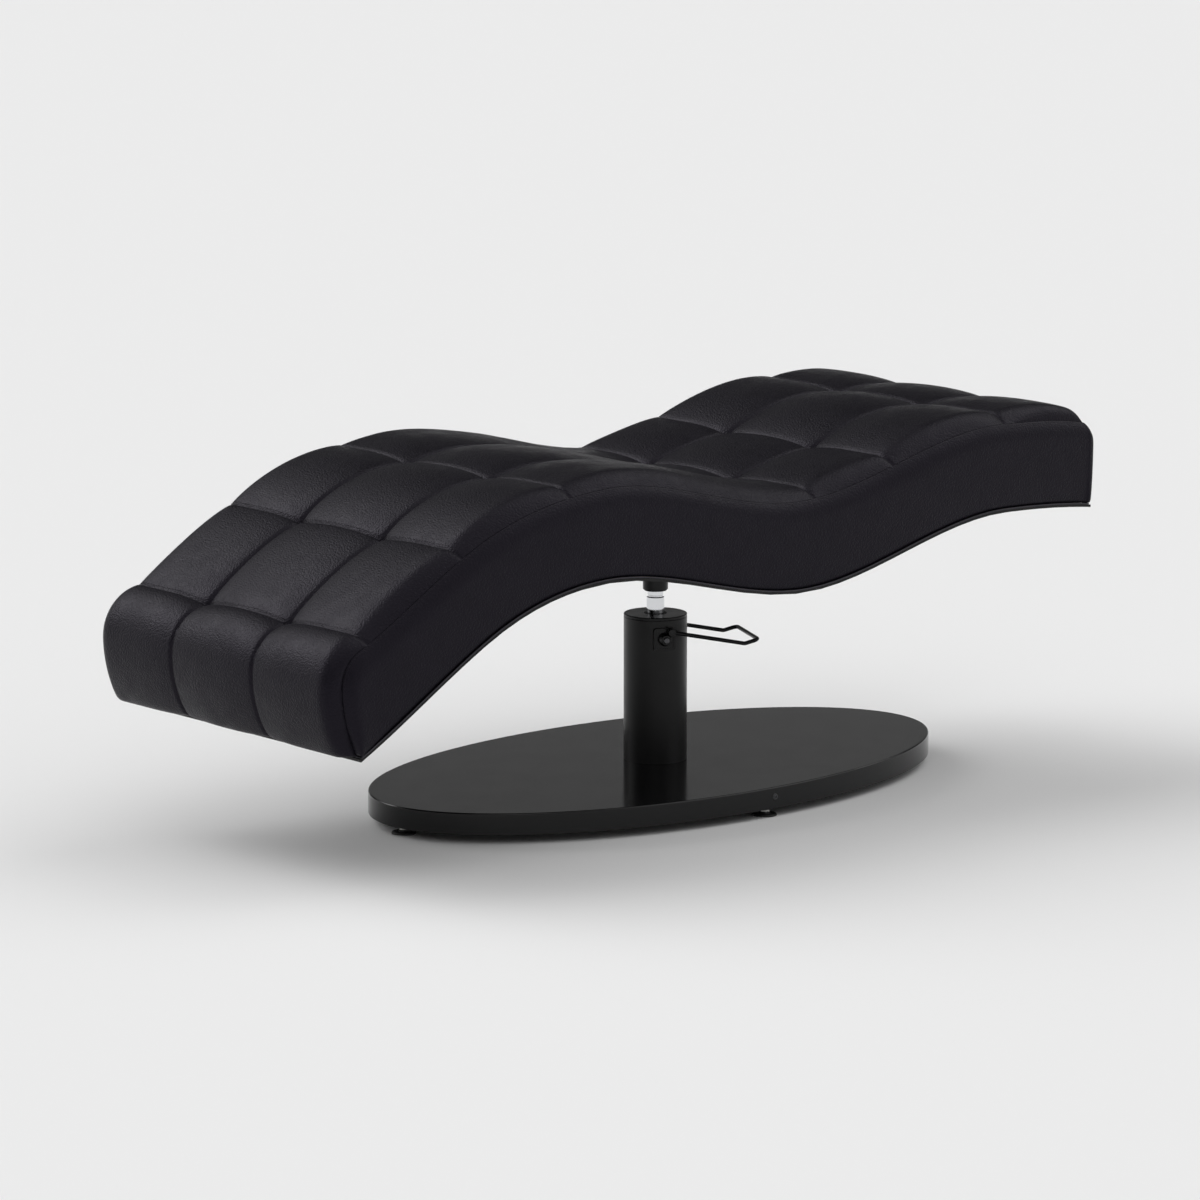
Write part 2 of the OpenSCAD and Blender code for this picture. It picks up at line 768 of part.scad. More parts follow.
module reservoir_tube() {
    on_axis()
        color(steel)
            translate([0, 0, block_top])
                difference() {
                    cylinder(d = reservoir_d, h = head_at - block_top, $fn = fine);
                    translate([0, 0, -over])
                        cylinder(d = reservoir_d - 2 * reservoir_wall, h = head_at, $fn = fine);
                }
}
module cylinder_head() {
    on_axis()
        color(steel)
            translate([0, 0, head_at])
                difference() {
                    cylinder(d = head_d, h = guide_l, $fn = fine);
                    translate([0, 0, -over])
                        cylinder(d = ram_d + 2 * bush_wall, h = cap_z, $fn = fine);
                }
}
module guide_bush() {
    on_axis()
        color(bronze)
            translate([0, 0, head_at])
                difference() {
                    cylinder(d = ram_d + 2 * bush_wall - 2 * fit, h = guide_l, $fn = fine);
                    translate([0, 0, -over])
                        cylinder(d = ram_d + 2 * fit, h = cap_z, $fn = fine);
                }
}
module plunger() {
    lever_frame()
        color(chrome) {
            translate([plunger_r, 0, plunger_low])
                cylinder(d = plunger_d, h = yoke_low - ease - plunger_low, $fn = small);
            translate([plunger_r, 0, yoke_low - ease - collar_h])
                cylinder(d = collar_d, h = collar_h, $fn = small);
        }
}
module spring_collar() {
    lever_frame()
        color(steel)
            translate([plunger_r, 0, collar_z])
                difference() {
                    cylinder(d = collar_d, h = collar_h, $fn = small);
                    translate([0, 0, -over])
                        cylinder(d = plunger_d + 2 * fit, h = collar_h + 2 * over, $fn = small);
                }
}

// The return spring is one helix whose rings stand on its own path
spring_low = block_top + ease;
spring_high = collar_z - ease;
spring_r = (collar_d - spring_wire) / 2;
curl_rings = 8;
wire_sides = 6;
spring_n = spring_curls * curl_rings;
pitch = (spring_high - spring_low - spring_wire) / spring_curls;
function helix(i) =
    [spring_r * cos(360 * i / curl_rings), spring_r * sin(360 * i / curl_rings),
     spring_low + spring_wire / 2 + pitch * i / curl_rings];
function helix_ring(i) =
    let (a = 360 * i / curl_rings, rise = pitch / (2 * PI * spring_r))
    [for (s = [0 : wire_sides - 1])
        let (b = 360 * s / wire_sides, out = spring_wire / 2 * cos(b), up = spring_wire / 2 * sin(b))
        helix(i) + [out * cos(a) + up * rise * sin(a), out * sin(a) - up * rise * cos(a), up]];
function curl_gap(i) = norm(helix(i + curl_rings) - helix(i)) - spring_wire;
least_gap = min([for (i = [0 : spring_n - curl_rings]) curl_gap(i)]);
echo("least gap between the curls of the return spring, mm", least_gap);
module return_spring() {
    lever_frame()
        color(steel)
            translate([plunger_r, 0, 0])
                polyhedron(points = [for (i = [0 : spring_n]) each helix_ring(i)],
                           faces = concat(side_faces(spring_n + 1, wire_sides),
                                          end_faces(spring_n + 1, wire_sides)));
}

// Column
shaft_bush_t = 2;
bush_d = shaft_d + 2 * shaft_bush_t;
module column_tube() {
    lever_frame()
        color(black_satin)
            difference() {
                translate([0, 0, column_low])
                    cylinder(d = column_d, h = cap_z - column_low, $fn = fine);
                translate([0, 0, column_low - over])
                    cylinder(r = column_inner, h = column_z, $fn = fine);
                translate([0, 0, lever_z])
                    rotate([90, 0, 0])
                        cylinder(d = bush_d + 2 * fit, h = 2 * column_d, center = true, $fn = small);
            }
}
cap_bevel = 2;
wiper_t = 4.5;
seal_d = ram_d + 2 * wiper_t;
module column_cap() {
    spigot = 6;
    on_axis()
        color(black_satin)
            difference() {
                union() {
                    translate([0, 0, cap_z])
                        cylinder(d = column_d, h = cap_t - cap_bevel, $fn = fine);
                    translate([0, 0, column_z - cap_bevel])
                        cylinder(d1 = column_d, d2 = column_d - 2 * cap_bevel, h = cap_bevel, $fn = fine);
                    translate([0, 0, cap_z - spigot])
                        cylinder(r = column_inner - fit, h = spigot + over, $fn = fine);
                }
                translate([0, 0, cap_z - spigot - over])
                    cylinder(d = head_d + 2 * fit, h = spigot + over, $fn = fine);
                translate([0, 0, cap_z - over])
                    cylinder(d = seal_d + 2 * fit, h = cap_t + 2 * over, $fn = fine);
            }
}
module wiper_seal() {
    on_axis()
        color(rubber)
            translate([0, 0, cap_z])
                difference() {
                    cylinder(d = seal_d, h = cap_t, $fn = fine);
                    translate([0, 0, -over])
                        cylinder(d = ram_d + 2 * fit, h = cap_t + 2 * over, $fn = fine);
                }
}

// Lever
plate_out = 4;
plate_rim = 2;
hub_gap = 0.5;
hub_t = 12;
hub_in = column_d / 2 + plate_out + hub_gap;
module both_sides() {
    for (side = [0, 180])
        rotate([0, 0, side])
            children();
}
module escutcheons() {
    corner = 5;
    deep = column_d / 2 + plate_out;
    lever_frame()
        color(black_satin)
            translate([0, 0, lever_z])
                difference() {
                    for (side = [90, -90])
                        rotate([side, 0, 0])
                            linear_extrude(height = deep)
                                offset(r = corner, $fn = small)
                                    square(escutcheon_w - 2 * corner, center = true);
                    for (side = [90, -90])
                        rotate([side, 0, 0])
                            translate([0, 0, deep - plate_rim / 2])
                                linear_extrude(height = plate_rim)
                                    square(escutcheon_w - 4 * plate_rim, center = true);
                    translate([0, 0, -escutcheon_w])
                        cylinder(d = column_d + 2 * fit, h = 2 * escutcheon_w, $fn = fine);
                    rotate([90, 0, 0])
                        cylinder(d = shaft_d + 2 * ease, h = 3 * column_d, center = true, $fn = small);
                }
}
module shaft_bushes() {
    proud = 3;
    bush_in = column_inner - proud;
    lever_frame()
        color(bronze)
            translate([0, 0, lever_z])
                for (side = [90, -90])
                    rotate([side, 0, 0])
                        translate([0, 0, bush_in])
                            difference() {
                                cylinder(d = bush_d, h = column_wall + proud - over, $fn = small);
                                translate([0, 0, -over])
                                    cylinder(d = shaft_d + 2 * fit, h = column_d, $fn = small);
                            }
}

// The yoke joins the two stub shafts inside the column and presses on the plunger
boss_gap = 4.5;
boss_in = head_d / 2 + boss_gap;
boss_t = 8;
boss_d = 22;
yoke_inner = 5;
yoke_outer = 3;
yoke_in = plunger_r - yoke_inner;
module stub_shafts() {
    thread_d = 6;
    lever_frame()
        color(steel)
            translate([0, 0, lever_z])
                for (side = [90, -90])
                    rotate([side, 0, 0])
                        translate([0, 0, boss_in])
                            difference() {
                                cylinder(d = shaft_d, h = hub_in + hub_t - boss_in, $fn = small);
                                translate([0, 0, hub_in - boss_in])
                                    cylinder(d = thread_d + 2 * fit, h = hub_t + over, $fn = small);
                            }
}
module yoke() {
    lever_frame()
        color(steel)
            translate([0, 0, lever_z])
                difference() {
                    union() {
                        translate([0, 0, -yoke_h / 2])
                            rotate([0, 0, -90])
                                rotate_extrude(angle = 180, $fn = fine)
                                    translate([yoke_in, 0])
                                        square([yoke_inner + yoke_outer, yoke_h]);
                        for (side = [90, -90])
                            rotate([side, 0, 0])
                                translate([0, 0, boss_in])
                                    cylinder(d = boss_d, h = boss_t, $fn = small);
                        translate([plunger_r, 0, 0])
                            rotate([90, 0, 0])
                                cylinder(r = nose_rod, h = boss_t, center = true, $fn = small);
                    }
                    rotate([90, 0, 0])
                        cylinder(d = shaft_d + fit, h = 2 * column_d, center = true, $fn = small);
                }
}

// The hub carries the wire at its ear, and a round screw holds it on its shaft
ear_x = 12;
ear_z = 14.6;
ear_d = 16;
hub_d = 26;
hub_fit = 0.02;
module hub_plate() {
    hull() {
        cylinder(d = hub_d, h = hub_t, $fn = small);
        translate([ear_x - ear_d / 2, ear_z, 0])
            cylinder(d = ear_d, h = hub_t, $fn = small);
    }
}
module lever_hubs() {
    lever_frame()
        color(black_satin)
            translate([0, 0, lever_z])
                for (side = [-1, 1])
                    difference() {
                        rotate([90, 0, 0])
                            translate([0, 0, side < 0 ? hub_in : -hub_in - hub_t])
                                hub_plate();
                        rotate([90, 0, 0])
                            cylinder(d = shaft_d + 2 * hub_fit, h = 2 * column_d,
                                     center = true, $fn = small);
                        translate([ear_x, side * leg_y, ear_z])
                            rotate([0, 90 + leg_fall, 0])
                                translate([0, 0, -ear_d / 2])
                                    cylinder(d = wire_d + 2 * fit, h = 2 * ear_d, $fn = small);
                    }
}
module hub_screws() {
    head_d = 13;
    head_h = 3;
    thread_d = 6;
    lever_frame()
        color(zinc)
            translate([0, 0, lever_z])
                for (side = [90, -90])
                    rotate([side, 0, 0])
                        translate([0, 0, hub_in + hub_t]) {
                            cylinder(d1 = head_d, d2 = head_d - head_h, h = head_h, $fn = small);
                            translate([0, 0, glue - hub_t])
                                cylinder(d = thread_d, h = hub_t, $fn = small);
                        }
}

// The wire bail: two legs with a bend, joined by a cross bar with round corners
corner_r = 10;
bar_half = leg_y - corner_r;
leg_start = [ear_x - ear_d / 2 + over, ear_z + (ear_d / 2 - over) * tan(leg_fall)];
leg_bend = [bend_x, ear_z - (bend_x - ear_x) * tan(leg_fall)];
leg_end = [bar_x, leg_bend[1] + (bar_x - bend_x) * tan(leg_rise)];
rise_dir = unit(leg_end - leg_bend);
corner_at = leg_end - rise_dir * corner_r;
module rod(from, to) {
    d = to - from;
    translate(from)
        rotate([0, acos(d[2] / norm(d)), atan2(d[1], d[0])])
            cylinder(d = wire_d, h = norm(d), $fn = small);
}
function at_leg(p, side) = [p[0], side * leg_y, p[1]];
module lever_wire() {
    lever_frame()
        color(black_satin)
            translate([0, 0, lever_z]) {
                for (side = [-1, 1]) {
                    rod(at_leg(leg_start, side), at_leg(leg_bend, side));
                    for (p = [leg_bend, corner_at])
                        translate(at_leg(p, side))
                            sphere(d = wire_d + fit, $fn = small);
                    rod(at_leg(leg_bend, side), at_leg(corner_at, side));
                    translate([corner_at[0], side * (leg_y - corner_r), corner_at[1]])
                        rotate([0, -leg_rise, 0])
                            rotate([0, 0, side < 0 ? -90 : 0])
                                rotate_extrude(angle = 90, $fn = small)
                                    translate([corner_r, 0])
                                        circle(d = wire_d, $fn = small);
                }
                rod([leg_end[0], -bar_half, leg_end[1]], [leg_end[0], bar_half, leg_end[1]]);
                for (y = [-bar_half, bar_half])
                    translate([leg_end[0], y, leg_end[1]])
                        sphere(d = wire_d + fit, $fn = small);
            }
}

// Base
oval_n = 160;
function oval(l, w) =
    [for (i = [0 : oval_n - 1]) let (a = 360 * i / oval_n) [l / 2 * cos(a), w / 2 * sin(a)]];
base_top = rim_z + rim_h;
plate_gap = 3;
ballast_l = base_l - 2 * sheet_t - 2 * plate_gap;
ballast_w = base_w - 2 * sheet_t - 2 * plate_gap;
rim_block_w = 24;
rim_block_t = 12;
rim_screw_z = plate_top + rim_block_t / 2;
rim_screw_d = 6;
module base_cover() {
    bevel_shares = [(base_l - 2 * rim_bevel) / base_l, (base_w - 2 * rim_bevel) / base_w];
    on_axis()
        color(black_gloss)
            difference() {
                union() {
                    translate([0, 0, rim_z])
                        linear_extrude(height = rim_h - rim_bevel)
                            polygon(oval(base_l, base_w));
                    translate([0, 0, base_top - rim_bevel])
                        linear_extrude(height = rim_bevel, scale = bevel_shares)
                            polygon(oval(base_l, base_w));
                }
                translate([0, 0, rim_z - over])
                    linear_extrude(height = rim_h - sheet_t + over)
                        polygon(oval(base_l - 2 * sheet_t, base_w - 2 * sheet_t));
                translate([0, 0, rim_z])
                    cylinder(d = column_d + 2 * ease, h = rim_h + over, $fn = fine);
                translate([0, 0, rim_screw_z])
                    rotate([90, 0, 0])
                        cylinder(d = rim_screw_d + 2 * ease, h = 2 * base_w,
                                 center = true, $fn = small);
            }
}
flange_pcd = (flange_d + column_d) / 2;
module at_flange_bolts() {
    for (i = [0 : flange_bolt_n - 1])
        rotate([0, 0, 360 * (i + 0.5) / flange_bolt_n])
            translate([flange_pcd / 2, 0, 0])
                children();
}
foot_x = base_l / 2 - pad_from_end;
foot_y = base_w / 2 - pad_from_side;
foot_places = [[foot_x, 0], [-foot_x, 0], [0, -foot_y], [0, foot_y]];
module base_plate() {
    on_axis()
        color(black_satin)
            difference() {
                translate([0, 0, ballast_z])
                    linear_extrude(height = ballast_t)
                        polygon(oval(ballast_l, ballast_w));
                for (p = foot_places)
                    translate([p[0], p[1], ballast_z - over])
                        cylinder(d = stud_d + 2 * fit, h = ballast_t + 2 * over, $fn = small);
                translate([0, 0, ballast_z - over])
                    at_flange_bolts()
                        cylinder(d = flange_bolt_d + 2 * fit, h = ballast_t + 2 * over, $fn = small);
            }
}
module rim_blocks() {
    on_axis()
        color(steel)
            difference() {
                for (side = [-1, 1])
                    translate([0, side * (base_w / 2 - sheet_t - ease - rim_block_t / 2), rim_screw_z])
                        cube([rim_block_w, rim_block_t, rim_block_t], center = true);
                translate([0, 0, rim_screw_z])
                    rotate([90, 0, 0])
                        cylinder(d = rim_screw_d + 2 * fit, h = 2 * base_w, center = true, $fn = small);
            }
}
module rim_screws() {
    head_d = 13;
    head_h = 3;
    dish_d = 6;
    reach = 20;
    on_axis()
        color(zinc)
            translate([0, 0, rim_screw_z])
                for (side = [90, -90])
                    rotate([side, 0, 0])
                        translate([0, 0, base_w / 2])
                            difference() {
                                union() {
                                    cylinder(d1 = head_d, d2 = head_d - head_h, h = head_h, $fn = small);
                                    translate([0, 0, -reach])
                                        cylinder(d = rim_screw_d, h = reach + over, $fn = small);
                                }
                                translate([0, 0, head_h / 3])
                                    cylinder(d1 = dish_d - head_h, d2 = dish_d, h = head_h, $fn = small);
                            }
}
module cover_posts() {
    post_d = 20;
    post_share = 0.5;
    on_axis()
        color(steel)
            for (x = [-1, 1], y = [-1, 1])
                translate([x * post_share * base_l / 2, y * post_share * base_w / 2, plate_top])
                    cylinder(d = post_d, h = base_top - sheet_t - plate_top - glue, $fn = small);
}
nut_h = 7;
nut_flats_share = 1.6;
module lock_nuts() {
    on_axis()
        color(zinc)
            for (p = foot_places)
                translate([p[0], p[1], ballast_z - nut_h])
                    difference() {
                        hex(nut_flats_share * stud_d, nut_h);
                        translate([0, 0, -over])
                            cylinder(d = stud_d + 2 * fit, h = nut_h + 2 * over, $fn = small);
                    }
}
module pump_flange() {
    on_axis()
        color(steel)
            difference() {
                translate([0, 0, plate_top])
                    cylinder(d = flange_d, h = flange_t, $fn = fine);
                translate([0, 0, plate_top - over])
                    at_flange_bolts()
                        cylinder(d = flange_bolt_d + 2 * fit, h = flange_t + 2 * over, $fn = small);
            }
}
module flange_bolts() {
    washer_d = 22;
    washer_t = 1.5;
    bolt_flats_share = 1.5;
    on_axis()
        color(zinc)
            at_flange_bolts() {
                translate([0, 0, ballast_z])
                    cylinder(d = flange_bolt_d, h = flange_top - ballast_z, $fn = small);
                translate([0, 0, flange_top])
                    cylinder(d = washer_d, h = washer_t, $fn = small);
                translate([0, 0, flange_top + washer_t])
                    hex(bolt_flats_share * flange_bolt_d, flange_bolt_d / 2);
            }
}

// Levelling feet
pad_boss_h = 8;
pad_boss_share = 1.7;
collar_flats_share = 1.4;
stud_low = 2;
stud_proud = 8;
stud_top = plate_top + stud_proud;
module foot_pad(i) {
    lip = 1.5;
    on_axis()
        color(rubber)
            translate([foot_places[i][0], foot_places[i][1], 0])
                difference() {
                    union() {
                        cylinder(d = pad_d, h = pad_t - lip, $fn = fine);
                        translate([0, 0, pad_t - lip])
                            cylinder(d1 = pad_d, d2 = pad_d - 2 * lip, h = lip, $fn = fine);
                        cylinder(d = pad_boss_share * stud_d, h = pad_boss_h, $fn = small);
                    }
                    translate([0, 0, stud_low])
                        cylinder(d = stud_d + 2 * hub_fit, h = pad_boss_h, $fn = small);
                }
}
module foot_stud(i) {
    collar = 3;
    on_axis()
        color(zinc)
            translate([foot_places[i][0], foot_places[i][1], 0]) {
                translate([0, 0, stud_low])
                    cylinder(d = stud_d, h = stud_top - stud_low, $fn = small);
                translate([0, 0, pad_boss_h])
                    hex(collar_flats_share * stud_d, collar);
            }
}
module pad_head() foot_pad(0);
module pad_foot() foot_pad(1);
module pad_near() foot_pad(2);
module pad_far() foot_pad(3);
module stud_head() foot_stud(0);
module stud_foot() foot_stud(1);
module stud_near() foot_stud(2);
module stud_far() foot_stud(3);

base_cover();
base_plate();
rim_blocks();
rim_screws();
cover_posts();
lock_nuts();
pump_flange();
flange_bolts();
column_tube();
column_cap();
wiper_seal();
cylinder_head();
guide_bush();
pressure_tube();
reservoir_tube();
pump_block();
check_balls();
valve_plugs();
escutcheons();
shaft_bushes();
return_spring();
pad_head();
pad_foot();
pad_near();
pad_far();
stud_head();
stud_foot();
stud_near();
stud_far();
lever_wire();
lever_hubs();
hub_screws();
stub_shafts();
yoke();
plunger();
spring_collar();
piston_head();
piston_seal();
thrust_bearing();
ram();
ram_socket();
ram_bolt();
seat_plate();
plate_bolts();
tee_nuts();
mounting_block();
bottom_shell();
rib_near();
rib_far();
cross_boards();
deck_board();
foam_core();
side_band();
quilted_top();
edge_piping();
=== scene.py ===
# %% [markdown]
# # A tufted treatment bed
# This bed is a wave-shaped lounge for a salon. Its leather top is sewn into puffs, it stands
# on a black hydraulic column, and an oval steel base keeps it from tipping. The imported model
# is a fixed frame: its solids have every real size, and this lesson dresses them. We load it
# first, and read the boxes of its solids, from which the dressed pieces take their sizes.

# %% Load the fixed frame
import json
import math

import bmesh
import bpy
from mathutils import Matrix, Vector
from mathutils.bvhtree import BVHTree


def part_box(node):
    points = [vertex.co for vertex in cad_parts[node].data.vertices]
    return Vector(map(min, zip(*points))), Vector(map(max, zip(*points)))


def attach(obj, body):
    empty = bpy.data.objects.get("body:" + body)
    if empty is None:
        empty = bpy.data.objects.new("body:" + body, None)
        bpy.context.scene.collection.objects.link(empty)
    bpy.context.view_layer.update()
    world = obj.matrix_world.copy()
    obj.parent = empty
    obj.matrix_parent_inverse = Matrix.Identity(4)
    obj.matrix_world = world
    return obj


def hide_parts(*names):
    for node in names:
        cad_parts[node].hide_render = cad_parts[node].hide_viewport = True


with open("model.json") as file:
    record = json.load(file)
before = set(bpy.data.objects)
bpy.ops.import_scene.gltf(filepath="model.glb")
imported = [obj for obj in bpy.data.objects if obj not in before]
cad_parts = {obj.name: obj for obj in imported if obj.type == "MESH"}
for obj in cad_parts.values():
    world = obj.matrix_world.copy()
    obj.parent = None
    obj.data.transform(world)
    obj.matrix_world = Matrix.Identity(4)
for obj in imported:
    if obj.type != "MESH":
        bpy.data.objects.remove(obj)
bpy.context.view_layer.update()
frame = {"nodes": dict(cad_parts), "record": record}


def middle(node):
    """The middle of a node's box."""
    low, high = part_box(node)
    return (Vector(low) + Vector(high)) / 2


COLUMN_X = middle("pump_flange").x

# %% [markdown]
# ## The camera
# The picture was taken with a long lens from the foot end's near side, a little above the
# bed. A long lens keeps the bed's lines nearly parallel. The camera has no roll or shift, so
# two turns place it: one down and one round. Colours are shown as they are, with no film look.

# %% Camera
CAMERA_TILT = 10.4253
CAMERA_TURN = 40.1495
CAMERA_FROM_COLUMN = (-7.01574, -8.14782, 2.35516)
camera_data = bpy.data.cameras.new("camera")
camera_data.lens = 166.79
camera_data.sensor_width = 36
camera_data.clip_end = 200
camera = bpy.data.objects.new("camera", camera_data)
bpy.context.collection.objects.link(camera)
camera.location = (COLUMN_X + CAMERA_FROM_COLUMN[0], *CAMERA_FROM_COLUMN[1:])
camera.rotation_euler = (math.radians(90 - CAMERA_TILT), 0, math.radians(-CAMERA_TURN))
bpy.context.scene.camera = camera
bpy.context.scene.view_settings.view_transform = "Standard"

# %% [markdown]
# ## Hand tools
# Every piece below is made with the same few moves. One picks a piece, so that an operator
# acts on it alone. One turns or moves a finished shape into its place and leaves its object
# at the origin, because the frame's own pieces are kept like that. One adds a modifier and
# applies it at once. One rounds the corners of a path, for turned parts and for bent wire.

# %% Hand tools
def pick(piece):
    """Select one piece only and make it the active one."""
    for other in bpy.context.selected_objects:
        other.select_set(False)
    piece.select_set(True)
    bpy.context.view_layer.objects.active = piece


def edit(piece):
    pick(piece)
    bpy.ops.object.mode_set(mode="EDIT")


def leave_edit():
    bpy.ops.object.mode_set(mode="OBJECT")


def put(piece, place=Matrix()):
    """Move a piece's shape, not its object, to its place."""
    bpy.context.view_layer.update()
    piece.data.transform(place @ piece.matrix_world)
    piece.matrix_world = Matrix()
    piece.data.update()


def smooth(piece, angle=35):
    pick(piece)
    bpy.ops.object.shade_smooth_by_angle(angle=math.radians(angle))


def modify(piece, kind, **settings):
    """Add a modifier, set it and apply it."""
    pick(piece)
    modifier = piece.modifiers.new(kind.lower(), kind)
    for name, value in settings.items():
        setattr(modifier, name, value)
    bpy.ops.object.modifier_apply(modifier=modifier.name)


def even_light(piece):
    """Let big flat faces keep their own direction beside small rounded ones."""
    modify(piece, "WEIGHTED_NORMAL", keep_sharp=True)


def face_outwards(piece):
    edit(piece)
    bpy.ops.mesh.select_all(action="SELECT")
    bpy.ops.mesh.remove_doubles(threshold=1e-6)
    bpy.ops.mesh.normals_make_consistent(inside=False)
    leave_edit()


def new_piece(name, verts, faces):
    """A piece from points and faces, for a shape that follows a measured line."""
    mesh = bpy.data.meshes.new(name)
    mesh.from_pydata(verts, [], faces)
    piece = bpy.data.objects.new(name, mesh)
    bpy.context.collection.objects.link(piece)
    return piece


def rounded_path(corners, steps):
    """Points along corners given as (place, radius), each corner turned into an arc."""
    points = []
    for i, (place, radius) in enumerate(corners):
        here = Vector(place)
        if i in (0, len(corners) - 1) or radius == 0:
            points.append(here)
            continue
        before = (Vector(corners[i - 1][0]) - here).normalized()
        after = (Vector(corners[i + 1][0]) - here).normalized()
        half = before.angle(after) / 2
        reach = radius / math.tan(half)
        centre = here + (before + after).normalized() * radius / math.sin(half)
        start = here + before * reach - centre
        end = here + after * reach - centre
        turn = math.pi - 2 * half
        for j in range(steps + 1):
            t = turn * j / steps
            arm = (start * math.sin(turn - t) + end * math.sin(t)) / math.sin(turn)
            points.append(centre + arm)
    return points


def tube(name, points, radius, closed=False, sides=3):
    """A round rod along a path, made from a curve and turned into a mesh."""
    curve = bpy.data.curves.new(name, "CURVE")
    curve.dimensions = "3D"
    curve.bevel_depth = radius
    curve.bevel_resolution = sides
    curve.use_fill_caps = not closed
    line = curve.splines.new("POLY")
    line.points.add(len(points) - 1)
    line.use_cyclic_u = closed
    for slot, place in zip(line.points, points):
        slot.co = (*place, 1)
    piece = bpy.data.objects.new(name, curve)
    bpy.context.collection.objects.link(piece)
    pick(piece)
    bpy.ops.object.convert(target="MESH")
    piece = bpy.context.view_layer.objects.active
    smooth(piece, 60)
    return piece


# %% [markdown]
# A turned part, such as the column or its ram, is drawn as a lathe would cut it: a disc is
# extruded upwards ring by ring, and each ring is scaled to the next radius of the profile.
# The profile's corners are rounded first, since light catches even a small bevel.

# %% Lathe
def turned(name, profile, at=(0, 0), sides=96, steps=4):
    """Extrude a disc through (radius, height, rounding) corners and close it at both ends."""
    path = rounded_path([((r, z), fillet) for r, z, fillet in profile], steps)
    bpy.ops.mesh.primitive_circle_add(
        vertices=sides, radius=path[0].x, fill_type="NGON",
        location=(at[0], at[1], path[0].y))
    piece = bpy.context.active_object
    piece.name = piece.data.name = name
    edit(piece)
    bpy.ops.mesh.select_all(action="SELECT")
    for here, there in zip(path, path[1:]):
        rise = {"value": (0, 0, there.y - here.y)}
        bpy.ops.mesh.extrude_region_move(TRANSFORM_OT_translate=rise)
        scale = there.x / here.x
        bpy.ops.transform.resize(
            value=(scale, scale, 1), center_override=(at[0], at[1], there.y))
    leave_edit()
    put(piece)
    face_outwards(piece)
    smooth(piece)
    even_light(piece)
    return piece


# %% [markdown]
# ## Finishes
# Nothing on the real bed is one flat colour. The leather has a pebbled grain, the paint has a
# faint orange peel, and metal shows the direction it was ground in. Three node groups hold
# these effects, and each material takes them with its own numbers. They give masks and
# heights only, and the shader itself stays in the material.

# %% Small helpers for node trees
def add(tree, kind, **inputs):
    """Add a node and set its named inputs or properties."""
    node = tree.nodes.new(kind)
    for key, value in inputs.items():
        name = key.replace("_", " ").title()
        if name in node.inputs:
            node.inputs[name].default_value = value
        else:
            setattr(node, key, value)
    return node


def maths(tree, operation, a, b=None):
    node = add(tree, "ShaderNodeMath", operation=operation)
    for socket, value in zip(node.inputs, (a, b)):
        if isinstance(value, (int, float)):
            socket.default_value = value
        elif value is not None:
            tree.links.new(value, socket)
    return node.outputs[0]


def new_group(name, inputs, outputs):
    """A node group with plain number inputs, and number outputs."""
    group = bpy.data.node_groups.new(name, "ShaderNodeTree")
    for label, value in inputs.items():
        socket = group.interface.new_socket(
            name=label, in_out="INPUT", socket_type="NodeSocketFloat")
        socket.default_value = value
    for label in outputs:
        group.interface.new_socket(
            name=label, in_out="OUTPUT", socket_type="NodeSocketFloat")
    start = group.nodes.new("NodeGroupInput")
    end = group.nodes.new("NodeGroupOutput")
    place = group.nodes.new("ShaderNodeTexCoord").outputs["Object"]
    return group, start, end, place


# %% [markdown]
# Leather grain is made of small raised cells with creases between them. Smooth Voronoi cells
# give the pebbles, a little noise bends them so that no two are alike, and a slow noise gives
# patches of a slightly different tone, as where hands and cleaning have polished the hide.

# %% Group: pebbled grain
def build_grain():
    group, start, end, place = new_group(
        "pebbled grain", {"Cells": 620.0, "Patches": 9.0}, ("Height", "Patch"))
    links = group.links
    bend = add(group, "ShaderNodeTexNoise", scale=240.0, detail=2.0)
    links.new(place, bend.inputs["Vector"])
    shift = add(group, "ShaderNodeVectorMath", operation="MULTIPLY_ADD")
    shift.inputs[1].default_value = (0.0016, 0.0016, 0.0016)
    links.new(bend.outputs["Color"], shift.inputs[0])
    links.new(place, shift.inputs[2])
    cells = add(group, "ShaderNodeTexVoronoi", feature="SMOOTH_F1")
    cells.inputs["Smoothness"].default_value = 0.55
    links.new(shift.outputs[0], cells.inputs["Vector"])
    links.new(start.outputs["Cells"], cells.inputs["Scale"])
    fine = add(group, "ShaderNodeTexNoise", detail=3.0)
    links.new(place, fine.inputs["Vector"])
    links.new(maths(group, "MULTIPLY", start.outputs["Cells"], 1.7), fine.inputs["Scale"])
    slow = add(group, "ShaderNodeTexNoise", detail=3.0, roughness=0.6)
    links.new(place, slow.inputs["Vector"])
    links.new(start.outputs["Patches"], slow.inputs["Scale"])
    pebble = maths(group, "SUBTRACT", 1.0, cells.outputs["Distance"])
    height = maths(group, "MULTIPLY_ADD", fine.outputs[0], 0.35)
    links.new(pebble, height.node.inputs[2])
    links.new(height, end.inputs["Height"])
    links.new(slow.outputs[0], end.inputs["Patch"])
    return group


GRAIN = build_grain()

# %% [markdown]
# Paint, plastic and metal share a second effect: very slow, soft blotches. They change the
# gloss a little from place to place, so that a reflection isn't as even as in a mirror.

